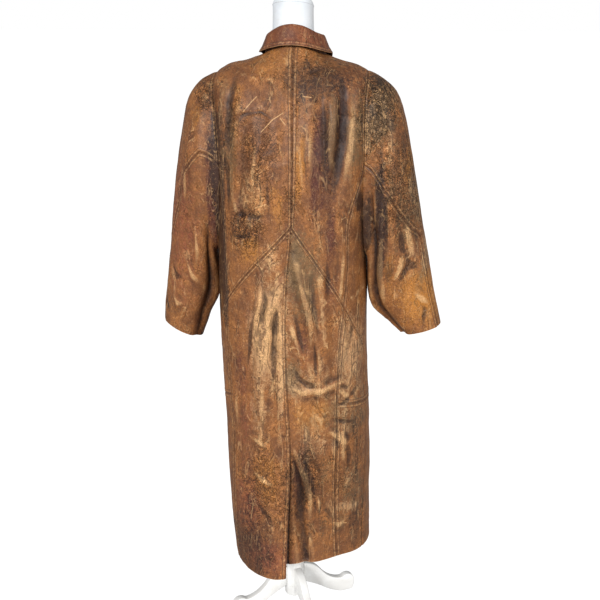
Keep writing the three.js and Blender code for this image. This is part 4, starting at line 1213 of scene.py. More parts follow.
# %% Back, sides and fronts
above = rows_above_level
below = skirt_rows - above
under_columns = len(turns_under_back) - 1
front_turns = np.concatenate([turns_front[::-1], turns_under_front[-2::-1]])
for side, which in ((1, "left"), (-1, "right")):
    corner_ring = armhole_at(side, float(armhole_corner))[1]
    underarm_ring = armhole_at(side, underarm)[1]
    princess = princess_line(side)
    side_seam = side_seam_line(side)
    princess_upper_rings = np.linspace(corner_ring, diagonal["corner"], upper_rows + 1)
    side_upper_rings = np.linspace(underarm_ring, diagonal["side"], upper_rows + 1)
    princess_rings = skirt_rings(diagonal["corner"], level_seam["princess"])
    side_rings = skirt_rings(diagonal["side"], level_seam["side"])

    outer_upper = border((yoke_line(side), yoke_rows), (armhole_line(side), turns_back),
                         (princess, princess_upper_rings, True))
    outer_rows = len(yoke_rows) + len(turns_back) - 1 + upper_rows
    middle_upper = middle_beside(outer_upper, diagonal["middle"] / diagonal["corner"])
    corner_end = at_key(outer_upper, outer_rows)
    diagonal_back = between(at_key(middle_upper, outer_rows), corner_end, back_columns)
    neck_back = between(at_key(middle_upper, 0), at_key(outer_upper, 0), back_columns)
    body_panel(f"back_upper_{which}", side, (neck_back, diagonal_back, middle_upper, outer_upper),
               outer_rows, back_columns, "TBLR", stitched="BLR")

    hem_princess = at_key(princess, hem_ring)
    hem_back = between(at_key(middle_line, hem_ring), hem_princess, back_columns)
    middle_skirt = border((middle_line, np.linspace(diagonal["middle"], hem_ring, skirt_rows + 1)))
    body_panel(f"back_skirt_{which}", side,
               (diagonal_back, hem_back, middle_skirt, border((princess, princess_rings))),
               skirt_rows, back_columns, "TLR",
               stitched="TLR" if side > 0 else "TR")

    diagonal_side = between(corner_end, at_key(side_seam, diagonal["side"]), under_columns)
    body_panel(f"side_upper_{which}", side,
               (border((armhole_line(side), turns_under_back)), diagonal_side,
                border((princess, princess_upper_rings)), border((side_seam, side_upper_rings))),
               upper_rows, under_columns, "TBLR",
               stitched="BL")

    level_side = between(at_key(princess, princess_rings[above]), at_key(side_seam, side_rings[above]),
                         under_columns)
    body_panel(f"side_skirt_{which}", side,
               (diagonal_side, level_side, border((princess, princess_rings[:above + 1])),
                border((side_seam, side_rings[:above + 1]))),
               above, under_columns, "TBLR", stitched="TBL")
    side_hem = between(hem_princess, at_key(side_seam, side_rings[-1]), under_columns)
    body_panel(f"side_hem_{which}", side,
               (level_side, side_hem, border((princess, princess_rings[above:])),
                border((side_seam, side_rings[above:]))),
               below, under_columns, "TLR", stitched="TL")

    outer_front = border((yoke_line(side), yoke_rows), (armhole_line(side), front_turns),
                         (side_seam, side_upper_rings, True), (side_seam, side_rings[:above + 1], True))
    front_rows = len(yoke_rows) + len(front_turns) - 1 + upper_rows + above
    outer_hem = border((side_seam, side_rings[above:]))
    front_edge = front_edge_beside(outer_front, side)
    hem_edge = front_edge_beside(outer_hem, side)
    lifted = overlap_lift if side < 0 else None
    top_front, level_front = (between(at_key(outer_front, row), at_key(front_edge, row), front_columns)
                              for row in (0, front_rows))
    hem_front = between(at_key(outer_hem, below), at_key(hem_edge, below), front_columns)
    body_panel(f"front_{which}", side, (top_front, level_front, outer_front, front_edge),
               front_rows, front_columns, "TBL", lifted, spacing=(7, 7),
               stitched="BR")
    body_panel(f"front_hem_{which}", side, (level_front, hem_front, outer_hem, hem_edge),
               below, front_columns, "TL", lifted, spacing=(7, 7),
               stitched="TR")
print("body done")


# %% [markdown]
# ## The sleeves
#
# A batwing sleeve is cut in three: a back, a front and a wedge under the arm, which lets the
# arm rise. The sleeve is a run of rings from the shoulder to the cuff, and the first of them
# is blended into the armhole, so that coat and sleeve meet in one smooth line.

# %% Sleeve surface
sleeve_stations = {
    1: [
        (178, 1418, 182, 1000, 92, 6), (216, 1402, 186, 984, 96, 6), (246, 1370, 187, 966, 94, 4),
        (262, 1318, 187, 948, 90, 2), (280, 1225, 187, 926, 82, 0), (296, 1130, 188, 900, 74, -3),
        (308, 1030, 197, 868, 66, -6), (321, 935, 217, 830, 59, -10), (331, 865, 232, 792, 53, -14),
        (338, 806, 244, 760, 48, -18),
    ],
    -1: [
        (178, 1418, 182, 1000, 92, 6), (212, 1402, 186, 984, 96, 6), (244, 1374, 187, 964, 94, 4),
        (264, 1325, 187, 944, 90, 2), (283, 1235, 187, 922, 82, 0), (300, 1145, 188, 900, 74, -3),
        (317, 1055, 196, 868, 66, -6), (335, 960, 213, 846, 59, -10), (350, 885, 242, 820, 53, -14),
        (364, 822, 268, 795, 48, -18),
    ],
}
last_station = len(sleeve_stations[1]) - 1
sleeve_blend = {"across": 0.1, "along": 0.45}
sleeve_fold_start = 0.2
overarm = {"angle": 20, "start": 0.2}
back_sleeve_end = 0.66
back_sleeve_end_width = 8
back_seam_turns = {
    1: [90, 82, 77, 75.5, 73, 69, 62.5, 56, 53, 49, 40, 28],
    -1: [90, 90, 90, 89.5, 87.5, 85, 80, 74, 67, 59, 48, 28],
}
sleeve_folds = {
    1: [(15, [(128, 0.08, -6), (140, 0.35, -16), (146, 0.65, -14), (150, 1, -5)]),
        (15, [(250, 0.12, 0), (262, 0.4, -8), (255, 0.75, -8), (250, 1, 0)])],
    -1: [(15, [(120, 0.08, -8), (132, 0.35, -20), (144, 0.65, -17), (150, 1, -6)]),
         (15, [(255, 0.12, 0), (262, 0.4, -8), (252, 0.75, -8), (250, 1, 0)])],
}


def sleeve_fold_sum(folds, turn, t):
    """Height of folds whose stops are a turn round the sleeve, a share of its length and a rise."""
    total = 0
    for width, stops in folds:
        scaled = [(angle, place * 360, rise) for angle, place, rise in stops]
        total = total + fold_height(np.mod(turn, 360), t * 360, (width, scaled))
    return total * smoothstep(t, 0, sleeve_fold_start)


def sleeve_plain(side, turn, t):
    rows = along(sleeve_stations[side], t * last_station)
    first = np.asarray(sleeve_stations[side][0], float)
    c = np.cos(np.radians(turn))
    s = np.sin(np.radians(turn))
    high = (1 + c) / 2

    def place(row):
        out_x, out_z, in_x, in_z, half, middle = (row[..., n] for n in range(6))
        return np.stack([side * (in_x + (out_x - in_x) * high), middle + half * s,
                         in_z + (out_z - in_z) * high], -1)
    start = armhole_point(side, turn) - place(first)
    across = 1 - smoothstep(t, 0, sleeve_blend["across"])
    down = 1 - smoothstep(t, 0, sleeve_blend["along"])
    return place(rows) + start * np.stack([across, down, down], -1)


def sleeve_surface(side, turn, t):
    point = sleeve_plain(side, turn, t)
    normal = normal_of(lambda a, b: sleeve_plain(side, a, b), turn, t, step_a=1, step_b=0.005)
    height = -side * sleeve_fold_sum(sleeve_folds[side], turn, t)
    return point + normal * height[..., None]


sleeve_rows_upper = [0, 0.04, 0.09, 0.15, 0.22, 0.3, 0.38, 0.47, 0.56, back_sleeve_end]
sleeve_rows_lower = [0.662, 0.74, 0.82, 0.91, 1]
sleeve_rows = sleeve_rows_upper + sleeve_rows_lower


def overarm_turn(t):
    return overarm["angle"] * smoothstep(t, 0, overarm["start"])


def back_seam_turn(side):
    stops = [[turn] for turn in back_seam_turns[side]]
    return lambda t: along(stops, t / back_sleeve_end * (len(stops) - 1))[..., 0]


def turn_line(turn_at):
    return lambda t: np.stack([turn_at(t), t], -1)


def steady(turn):
    return turn_line(lambda t: np.full_like(t, float(turn)))


def level(t):
    return lambda turn: np.stack([turn, np.full_like(turn, t)], -1)


sleeve_creases = {
    1: [(7, [(60, 0.3, 0), (66, 0.4, 3), (70, 0.5, 0)]),
        (7, [(95, 0.35, 0), (105, 0.5, 4), (104, 0.66, 0)]),
        (6, [(80, 0.62, 0), (100, 0.66, 4), (120, 0.64, 0)]),
        (7, [(50, 0.8, 0), (76, 0.84, 3), (100, 0.8, 0)]),
        (6, [(40, 0.7, 0), (62, 0.74, -3), (86, 0.7, 0)]),
        (7, [(300, 0.5, 0), (280, 0.6, 4), (300, 0.72, 0)]),
        (7, [(330, 0.6, 0), (310, 0.7, -3), (326, 0.82, 0)]),
        (6, [(20, 0.86, 0), (36, 0.9, -3), (60, 0.93, 0)])],
    -1: [(7, [(96, 0.12, 0), (110, 0.22, 5), (118, 0.36, 0)]),
         (8, [(108, 0.4, 0), (116, 0.55, 6), (124, 0.74, 0)]),
         (6, [(84, 0.3, 0), (92, 0.42, -4), (98, 0.55, 0)]),
         (6, [(100, 0.68, 0), (82, 0.66, 4), (62, 0.6, 0)]),
         (6, [(90, 0.7, 0), (66, 0.69, -4), (44, 0.74, 0)]),
         (7, [(62, 0.5, 0), (56, 0.6, 4), (50, 0.7, 0)]),
         (6, [(74, 0.54, 0), (70, 0.62, -4), (60, 0.72, 0)]),
         (7, [(76, 0.76, 0), (56, 0.84, 4), (36, 0.9, 0)]),
         (7, [(50, 0.86, 0), (64, 0.92, -3), (76, 0.98, 0)]),
         (7, [(300, 0.5, 0), (280, 0.6, 4), (300, 0.72, 0)]),
         (7, [(330, 0.6, 0), (310, 0.7, -3), (326, 0.82, 0)])],
}


def sleeve_panel(name, side, borders, rows, columns, sewn, stitched=None):
    def relief(middle, pairs):
        turn = pairs[..., 0]
        t = pairs[..., 1]
        return (sleeve_fold_sum(sleeve_folds[side], turn, t),
                sleeve_fold_sum(sleeve_creases[side], turn, t))

    def surface(turn, t):
        return sleeve_surface(side, turn, t)

    def outward(pairs, middle):
        stations = along(sleeve_stations[side], pairs[..., 1] * last_station)
        axis = np.stack([side * (stations[..., 0] + stations[..., 2]) / 2, stations[..., 5],
                         (stations[..., 1] + stations[..., 3]) / 2], -1)
        return unit(middle - axis)

    piece = panel(name, surface, outward, borders, rows, columns, brown, (5, 4), sewn, relief,
                  stitched)
    return piece


# %% Sleeve panels
narrow = overarm["angle"] + back_sleeve_end_width
upper_count = len(sleeve_rows_upper) - 1
lower_count = len(sleeve_rows) - 1
back_end_turns = np.linspace(overarm["angle"], narrow, len(turns_back))
under_turns = np.concatenate([turns_under_back, turns_under_front[1:]])
under_end_turns = np.linspace(narrow, sleeve_front_seam, len(under_turns))
front_end_turns = np.linspace(sleeve_front_seam, 360 + narrow, len(turns_front))
over_seam = turn_line(overarm_turn)
over_seam_round = turn_line(lambda t: 360 + overarm_turn(t))
for side, which in ((1, "left"), (-1, "right")):
    back_seam = turn_line(back_seam_turn(side))
    sleeve_panel(f"sleeve_back_{which}", side, (
        border((level(0.0), turns_back)), border((level(back_sleeve_end), back_end_turns)),
        border((over_seam, sleeve_rows_upper)), border((back_seam, sleeve_rows_upper)),
    ), upper_count, len(turns_back) - 1, "TBLR")
    sleeve_panel(f"sleeve_under_{which}", side, (
        border((level(0.0), under_turns)), border((level(1.0), under_end_turns)),
        border((back_seam, sleeve_rows_upper), (steady(narrow), sleeve_rows_lower)),
        border((steady(sleeve_front_seam), sleeve_rows)),
    ), lower_count, len(under_turns) - 1, "TLR", "L")
    sleeve_panel(f"sleeve_front_{which}", side, (
        border((level(0.0), turns_front)), border((level(1.0), front_end_turns)),
        border((steady(sleeve_front_seam), sleeve_rows)),
        border((over_seam_round, sleeve_rows_upper), (steady(360 + narrow), sleeve_rows_lower)),
    ), lower_count, len(turns_front) - 1, "TLR", "R")


# %% [markdown]
# ## The collar
#
# A collar is a stand round the neck and a fall that turns down over it. Both are strips of
# the same hide, darker from handling, and both follow the neck's own rings.

# %% Collar
stand_top = np.array([60, 56, 70, 1531, 1508, 1462, 2.0], float)
fall_rings = np.array([
    [59, 55, 69, 1532.6, 1509.6, 1463.6, 2.0],
    [62.5, 58.5, 73, 1533.2, 1510.2, 1463.4, 2.0],
    [66.5, 62.5, 77.5, 1530.5, 1507.5, 1460, 2.0],
    [71, 67, 87, 1520, 1496, 1442, 2.0],
    [77, 72, 98, 1505, 1482, 1422, 2.0],
    [84, 78, 110, 1489, 1470, 1403, 2.0],
], float)
fall_end = {"roll": 170, "point": 162}
stand_end = 167
collar_lean = body_rings[0][7]


def stand_surface(angle, f):
    low_left = body_surface(angle, np.zeros_like(angle), 1)
    low_right = body_surface(angle, np.zeros_like(angle), -1)
    low = np.where((angle > 0)[..., None], low_left, low_right)
    high = ring_point(stand_top, angle)
    high[..., 0] += collar_lean
    return low + (high - low) * f[..., None]


def fall_surface(across, f):
    end = fall_end["roll"] + (fall_end["point"] - fall_end["roll"]) * smoothstep(f, 0, 1)
    point = ring_point(along(fall_rings, f * (len(fall_rings) - 1)), across * end)
    point[..., 0] += collar_lean
    return point


def away(pairs, middle):
    flat = middle - [collar_lean, 0, 0]
    flat[..., 2] = 0
    return unit(flat)


def box_borders(low_a, high_a, low_b, high_b, rows, columns):
    low_low, high_low = (low_a, low_b), (high_a, low_b)
    low_high, high_high = (low_a, high_b), (high_a, high_b)
    return (between(low_low, high_low, columns), between(low_high, high_high, columns),
            between(low_low, low_high, rows), between(high_low, high_high, rows))


stand_borders = box_borders(-stand_end, stand_end, 1.0, 0.0, 3, 40)
stand = panel("collar_stand", stand_surface, away, stand_borders, 3, 40, collar_brown, (5, 5),
              "B")
fall_borders = box_borders(-1, 1, 0.0, 1.0, 5, 30)
fall = panel("collar_fall", fall_surface, away, fall_borders, 5, 30, collar_brown, (4, 5),
             "", stitched="B")


# %% [markdown]
# ## The piece behind the vent
#
# Where the back opens at the hem, a narrow strip of leather lies behind the slit, so that
# walking does not bare the lining. It hangs just inside the skirts, and its leather is a darker
# copy of the coat's, as painted shade inside the vent.

# %% Underlay
vent_rows = np.linspace(diagonal["middle"], hem_ring, skirt_rows + 1)
underlay_rows = vent_rows[body_ring(middle_line(vent_rows)[:, 0], vent_rows)[:, 2] < vent["top"]]
underlay_top = vent_rows[len(vent_rows) - len(underlay_rows) - 1]
underlay_columns = 4


def underlay_line(share_left, share_right):
    def line(v):
        middle = middle_line(v)[:, 0]
        left = princess_line(1)(v)[:, 0]
        right = princess_line(-1)(v)[:, 0]
        angle = middle + share_left * (left - middle) + share_right * (right - middle)
        return np.stack([angle, v], -1)
    return line


underlay_keys = np.linspace(underlay_top, hem_ring, len(underlay_rows) + 1)
left_edge = underlay_line(3 / back_columns, 0)
right_edge = underlay_line(0, 1 / back_columns)
underlay_top_border, underlay_hem_border = (
    between(at_key(left_edge, ring), at_key(right_edge, ring), underlay_columns)
    for ring in (underlay_top, hem_ring))
# The underlay uses the darker copy of the leather: painted shade inside the vent.
body_panel("vent_underlay", -1, (
    underlay_top_border, underlay_hem_border,
    border((left_edge, underlay_keys)), border((right_edge, underlay_keys)),
), len(underlay_keys) - 1, underlay_columns, "",
    layer=lambda angle: -vent["depth"], material=vent_shaded_brown)


# %% [markdown]
# ## Stitching
#
# Every seam on this coat is sewn, opened and topstitched, with a row of thread near the
# seam and a second one further in. A sewing machine sets one stitch after another along a
# line, and geometry nodes do the same here: they walk along each line and lay a stitch.

# %% Lines for the thread
stitch_rows = (3.0, 9.5)


def line_beside(name, border_index, distance, keep_off=2.0):
    """A line on a panel's outer face at a distance from one of its borders."""
    panel_data = panels[name]
    outer = panel_data["outer"]
    normals = panel_data["normals"]
    away_from = panel_data["distances"][border_index]
    if border_index < 2:
        outer = outer.transpose(1, 0, 2)
        normals = normals.transpose(1, 0, 2)
        away_from = away_from.T
        ends = [panel_data["distances"][2].T, panel_data["distances"][3].T]
    else:
        ends = [panel_data["distances"][0], panel_data["distances"][1]]
    points = []
    for row in range(len(outer)):
        order = np.argsort(away_from[row])
        spots = away_from[row][order]
        if spots[-1] < distance + keep_off:
            continue
        to_end = min(np.interp(distance, spots, end[row][order]) for end in ends)
        if to_end < keep_off:
            continue
        point = [np.interp(distance, spots, outer[row][order][:, n]) for n in range(3)]
        normal = [np.interp(distance, spots, normals[row][order][:, n]) for n in range(3)]
        points.append((point, normal))
    return points


def rows_beside(name, border_index, distances=stitch_rows):
    return [line_beside(name, border_index, distance) for distance in distances]


def stitch_tree():
    tree = bpy.data.node_groups.new("stitching", "GeometryNodeTree")
    face = tree.interface
    sockets = {"Lines": face.new_socket("Lines", in_out="INPUT", socket_type="NodeSocketGeometry")}
    for label, kind in (("Pitch", "NodeSocketFloat"), ("Length", "NodeSocketFloat"),
                        ("Thickness", "NodeSocketFloat"), ("Seed", "NodeSocketInt"),
                        ("Thread", "NodeSocketMaterial")):
        sockets[label] = face.new_socket(label, in_out="INPUT", socket_type=kind)
    face.new_socket("Stitches", in_out="OUTPUT", socket_type="NodeSocketGeometry")

    def add(kind, settings=None, **inputs):
        return add_node(tree, kind, settings, **inputs)

    given = tree.nodes.new("NodeGroupInput").outputs
    result = tree.nodes.new("NodeGroupOutput")
    curve = add("GeometryNodeMeshToCurve", None, Mesh=given["Lines"]).outputs[0]
    walk = add("GeometryNodeResampleCurve", {"mode": "LENGTH"}, Curve=curve, Length=given["Pitch"])
    ball = add("GeometryNodeMeshIcoSphere", None, Radius=0.5, Subdivisions=1).outputs[0]
    smooth = add("GeometryNodeSetShadeSmooth", None, Geometry=ball).outputs[0]
    tangent = add("GeometryNodeInputTangent").outputs[0]
    outward = add("GeometryNodeInputNamedAttribute", {"data_type": "FLOAT_VECTOR"},
                  Name="outward").outputs[0]
    first = add("FunctionNodeAlignRotationToVector", {"axis": "X"}, Vector=tangent).outputs[0]
    second = add("FunctionNodeAlignRotationToVector", {"axis": "Z", "pivot_axis": "X"},
                 Rotation=first, Vector=outward).outputs[0]
    size = add("ShaderNodeCombineXYZ", None, X=given["Length"], Y=given["Thickness"],
               Z=given["Thickness"]).outputs[0]
    vary = add("FunctionNodeRandomValue", {"data_type": "FLOAT"}, Seed=given["Seed"])
    least, greatest = vary.inputs[2:4]
    least.default_value = 0.85
    greatest.default_value = 1.12
    scaled = add("ShaderNodeVectorMath", {"operation": "SCALE"}, Vector=size, Scale=vary.outputs[1])
    laid = add("GeometryNodeInstanceOnPoints", None, Points=walk.outputs[0], Instance=smooth,
               Rotation=second, Scale=scaled.outputs[0]).outputs[0]
    real = add("GeometryNodeRealizeInstances", None, Geometry=laid).outputs[0]
    painted = add("GeometryNodeSetMaterial", None, Geometry=real, Material=given["Thread"]).outputs[0]
    tree.links.new(painted, result.inputs[0])
    return tree, {label: socket.identifier for label, socket in sockets.items()}


def thread_material():
    t = Tree("thread")
    dirt = t.noise(t.place, 60, 3)
    twist = t.noise(t.place, 1500, 2)
    colour = t.mix(t.ramp(dirt, 0.35, 0.7), paint_colour(70, 42, 28), paint_colour(140, 94, 58))
    t.surface(colour, t.ramp(dirt, 0.2, 0.8, 0.6, 0.8))
    t.bump(twist, 0.4, 0.0003)
    t.shader.inputs["Sheen Weight"].default_value = 0.2
    return t.material


stitching_tree, stitch_inputs = stitch_tree()
thread = thread_material()
stitch = {"Pitch": 4.2, "Length": 3.0, "Thickness": 0.65}
thread_lift = 0.1


def plain_mesh(piece):
    """The piece's mesh with its modifiers worked out."""
    bpy.context.view_layer.update()
    graph = bpy.context.evaluated_depsgraph_get()
    done = bpy.data.meshes.new_from_object(piece.evaluated_get(graph))
    piece.modifiers.clear()
    piece.data = done


def sew(name, lines, seed):
    """One object of real stitches along some lines on the leather."""
    lines = [line for line in lines if len(line) > 2]
    points = np.array([point for line in lines for point, _ in line])
    normals = unit(np.array([normal for line in lines for _, normal in line]))
    edges = []
    start = 0
    for line in lines:
        edges.extend((start + k, start + k + 1) for k in range(len(line) - 1))
        start += len(line)
    guide = bpy.data.meshes.new(f"{name}_line")
    guide.from_pydata((points + normals * thread_lift + offset) / 1000, edges, [])
    outward = guide.attributes.new("outward", "FLOAT_VECTOR", "POINT")
    outward.data.foreach_set("vector", normals.ravel())
    piece = placed(name, guide)
    nodes = piece.modifiers.new("stitching", "NODES")
    nodes.node_group = stitching_tree
    for label, size in stitch.items():
        nodes[stitch_inputs[label]] = size / 1000
    nodes[stitch_inputs["Seed"]] = seed
    nodes[stitch_inputs["Thread"]] = thread
    plain_mesh(piece)
    bpy.data.meshes.remove(guide)
    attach(piece, "root")
    print(name, len(piece.data.polygons), "triangles of thread")
    return piece


# %% Sew the seams
top, bottom, left, right = range(4)
double_rows = {
    "back": [("back_upper", left), ("back_upper", bottom), ("back_upper", right),
             ("back_skirt", top), ("back_skirt", right)],
    "sides": [("side_upper", left), ("side_upper", bottom), ("side_skirt", top),
              ("side_skirt", left), ("side_skirt", bottom), ("side_hem", top), ("side_hem", left)],
    "fronts": [("front", right), ("front_hem", right), ("front", bottom), ("front_hem", top)],
    "sleeves": [("sleeve_back", left), ("sleeve_back", right), ("sleeve_under", left),
                ("sleeve_front", right)],
}
single_rows = [
    ("fronts", "back_skirt", 26.0), ("fronts", "side_hem", 26.0), ("fronts", "front_hem", 26.0),
    ("sleeves", "sleeve_under", 24.0), ("sleeves", "sleeve_front", 24.0),
]
collar_row = 3.0
facing_reach = {"left": 92.0, "right": 84.0}
facing_start = 4
rows_of = {part: [] for part in double_rows}
for which in ("left", "right"):
    for part, places in double_rows.items():
        for name, seam_side in places:
            rows_of[part] += rows_beside(f"{name}_{which}", seam_side)
    for part, name, distance in single_rows:
        rows_of[part].append(line_beside(f"{name}_{which}", bottom, distance))
rows_of["back"] += rows_beside("back_skirt_left", left)
rows_of["collar"] = rows_beside("collar_fall", bottom)
rows_of["collar"] += [line_beside("collar_fall", end, collar_row) for end in (left, right)]


def vent_lines(name, reach):
    """The vent's facing: a line down the skirt beside the vent, and one across its top."""
    data = panels[name]
    down = [pair for pair in line_beside(name, left, reach) if pair[0][2] < vent["top"]]
    row = int(np.argmin(np.abs(data["outer"][:, 0, 2] - vent["top"])))
    from_slit = data["distances"][left][row]
    across = [(data["outer"][row, k], data["normals"][row, k]) for k in range(len(from_slit))
              if facing_start < from_slit[k] < reach]
    return [down, across]


for which, reach in facing_reach.items():
    rows_of["back"] += vent_lines(f"back_skirt_{which}", reach)
for seed, part in enumerate(("back", "sides", "fronts", "sleeves", "collar"), 11):
    sew(f"stitching_{part}", rows_of[part], seed)


# %% [markdown]
# ## Buttons
#
# A horn button is turned on a lathe: a rounded rim, a shallow dish and four drilled holes.
# Here a profile is turned the same way, the holes are cut with a boolean, and each button
# is set on the flat face that the frame's button has. Two threads cross in its dish.

# %% Turn and set the buttons
button_profile = [(0.0, 4.2), (5.5, 4.2), (7.5, 4.4), (9.5, 5.0), (11.4, 5.3), (12.9, 5.0), (13.8, 3.9),
                  (14.0, 2.4), (13.6, 1.0), (12.4, 0.3), (10.0, 0.0), (0.0, 0.0)]
button_sides = 56
hole = {"radius": 1.0, "out": 2.3, "sides": 12, "above": 9.0, "below": -3.0}
crossing = {"apart": 0.32, "radius": 0.3, "sides": 8, "top": 4.75, "dip": 1.1}
small_sharp_angle = math.radians(50)


def closed_loft(grid):
    """Points and faces of a body through rings, with a fan at each end."""
    rings, sides = grid.shape[:2]
    points = list(grid.reshape(-1, 3))
    faces = []
    for ring in range(rings - 1):
        for k in range(sides):
            a, b = ring * sides + k, ring * sides + (k + 1) % sides
            faces.append((a, b, b + sides, a + sides))
    points.append(grid[0].mean(axis=0))
    points.append(grid[-1].mean(axis=0))
    for k in range(sides):
        after = (k + 1) % sides
        faces.append((len(points) - 2, after, k))
        faces.append((len(points) - 1, (rings - 1) * sides + k, (rings - 1) * sides + after))
    return np.array(points), faces


def lathe(profile, sides):
    """Points and faces of a profile, from the axis to the axis, turned round z."""
    turns = np.arange(sides) / sides * 2 * np.pi
    return closed_loft(np.array([[(radius * math.cos(turn), radius * math.sin(turn), z)
                                  for turn in turns] for radius, z in profile[1:-1]]))


def raw_object(name, points, faces, material=None):
    """An object in the renderer's metres from points in millimetres, faces turned outward."""
    mesh = bpy.data.meshes.new(name)
    mesh.from_pydata([tuple(point) for point in np.asarray(points) / 1000], [],
                     [tuple(face) for face in faces])
    bm = bmesh.new()
    bm.from_mesh(mesh)
    bmesh.ops.recalc_face_normals(bm, faces=bm.faces)
    bm.to_mesh(mesh)
    bm.free()
    mesh.polygons.foreach_set("use_smooth", [True] * len(mesh.polygons))
    mesh.set_sharp_from_angle(angle=small_sharp_angle)
    if material:
        mesh.materials.append(material)
    return placed(name, mesh)


def horn_material():
    t = Tree("horn")
    swirl = t.noise(t.place, 180, 4, 0.6, distortion=1.5)
    colour = t.mix(t.ramp(swirl, 0.35, 0.65), paint_colour(38, 24, 18), paint_colour(92, 58, 36))
    t.surface(colour, t.ramp(t.noise(t.place, 900, 2), 0.3, 0.7, 0.26, 0.45))
    t.bump(t.noise(t.stretch(1, 6, 1), 700, 2), 0.2, 0.0002)
    t.shader.inputs["Coat Weight"].default_value = 0.3
    t.shader.inputs["Coat Roughness"].default_value = 0.2
    return t.material


def turn_button(horn):
    points, faces = lathe(button_profile, button_sides)
    blank = raw_object("button_blank", points, faces, horn)
    drill_profile = [(0.0, hole["above"]), (hole["radius"], hole["above"]),
                     (hole["radius"], hole["below"]), (0.0, hole["below"])]
    drills = []
    for k in range(4):
        turn = math.radians(45 + 90 * k)
        drill_points, drill_faces = lathe(drill_profile, hole["sides"])
        drill_points = drill_points + [hole["out"] * math.cos(turn), hole["out"] * math.sin(turn), 0]
        drill = raw_object(f"drill_{k}", drill_points, drill_faces)
        cut = blank.modifiers.new(f"hole_{k}", "BOOLEAN")
        cut.operation = "DIFFERENCE"
        cut.solver = "EXACT"
        cut.object = drill
        drills.append(drill)
    plain_mesh(blank)
    for drill in drills:
        bpy.data.objects.remove(drill)
    return blank


def thread_cross():
    """Two threads that cross in the dish, each a thin rounded bar that bends down at its ends."""
    points = []
    faces = []
    sides = crossing["sides"]
    steps_along = np.linspace(-1, 1, 9)
    for turn in (45, 135):
        c, s = math.cos(math.radians(turn)), math.sin(math.radians(turn))
        for shift in (-crossing["apart"], crossing["apart"]):
            start = len(points)
            for f in steps_along:
                reach = hole["out"] * f
                height = crossing["top"] - crossing["dip"] * f ** 4
                for k in range(sides):
                    around = k / sides * 2 * math.pi
                    across = shift + crossing["radius"] * math.cos(around)
                    up = height + crossing["radius"] * math.sin(around)
                    points.append((reach * c - across * s, reach * s + across * c, up))
            for ring in range(len(steps_along) - 1):
                for k in range(sides):
                    after = (k + 1) % sides
                    a = start + ring * sides
                    faces.append((a + k, a + after, a + after + sides, a + k + sides))
            faces.append(tuple(start + k for k in range(sides)))
            last = start + (len(steps_along) - 1) * sides
            faces.append(tuple(last + sides - 1 - k for k in range(sides)))
    return points, faces


def seat_of(node):
    """Where a button sits and which way it faces, from the frame's own button."""
    spots = np.array([vertex.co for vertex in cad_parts[node].data.vertices])
    middle = (spots.min(axis=0) + spots.max(axis=0)) / 2
    _, _, axes = np.linalg.svd(spots - spots.mean(axis=0), full_matrices=False)
    facing = axes[2]
    if facing @ (middle - [axis_x, axis_y, middle[2]]) < 0:
        facing = -facing
    depths = (spots - middle) @ facing
    return Vector(middle + facing * depths.min()), Vector(facing)


horn = horn_material()
blank_button = turn_button(horn)
cross_points, cross_faces = thread_cross()
blank_cross = raw_object("cross_blank", cross_points, cross_faces, thread)
for k in range(1, 5):
    seat, facing = seat_of(f"button_{k}")
    set_in_place = Matrix.Translation(seat) @ facing.to_track_quat("Z", "Y").to_matrix().to_4x4()
    for blank, name in ((blank_button, f"button_{k}_horn"), (blank_cross, f"button_{k}_thread")):
        mesh = blank.data.copy()
        mesh.transform(set_in_place)
        mesh.set_sharp_from_angle(angle=small_sharp_angle)
        piece = placed(name, mesh)
        if blank is blank_button:
            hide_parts(f"button_{k}")
        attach(piece, "root")
bpy.data.objects.remove(blank_button)
bpy.data.objects.remove(blank_cross)
print("buttons set", 4)


# %% [markdown]
# ## Dress form
#
# A dress form is a moulded body with jersey pulled over it, and a cap closes its neck. It is
# one loft through rings, with more rings and more sides than the frame needs. The jersey's
# knit is too fine to model, so its loops are a small bump in columns and rows.

# %% Loft the form
form_rings = [
    [760, 146, 92, 92, 2.2], [800, 160, 110, 104, 2.2], [880, 160, 118, 108, 2.2],
    [960, 150, 104, 100, 2.2], [1050, 122, 84, 88, 2.2], [1130, 136, 92, 104, 2.2],
    [1210, 148, 96, 122, 2.3], [1290, 154, 94, 108, 2.3], [1350, 158, 86, 88, 2.2],
    [1395, 152, 72, 70, 2.1], [1425, 136, 60, 56, 2.0],
]
form_neck_rings = [
    [1457, 66, 49, 46, 2.0], [1474, 53, 50, 50, 2.0], [1510, 48.5, 48.5, 48.5, 2.0],
    [1550, 47, 47, 47, 2.0], [1574, 47, 47, 47, 2.0],
]
neck = {"radius": 47, "seam": 1574, "tilt": 13, "tilt_from": 1480, "cap_rise": 26, "cap_arc": 86.4,
        "gap": 0.3}
form_shoulder = {"inside": 2, "back": 48, "front": 42, "clearance": 0.4}
form_sides = 112
rows_between = 6


def form_point(rows, turns, tilt):
    """Rings of a form with a superellipse section. Above the shoulders they tilt with the neck."""
    wide, back, front, square = (rows[:, None, n] for n in (1, 2, 3, 4))
    s = np.sin(turns)[None]
    c = np.cos(turns)[None]
    deep = np.where(c > 0, back, front)
    reach = (np.abs(s / wide) ** square + np.abs(c / deep) ** square) ** (-1 / square)
    y = reach * c
    z = rows[:, None, 0] + y * np.tan(np.radians(tilt))[:, None]
    return np.stack([reach * s, y, z], -1)


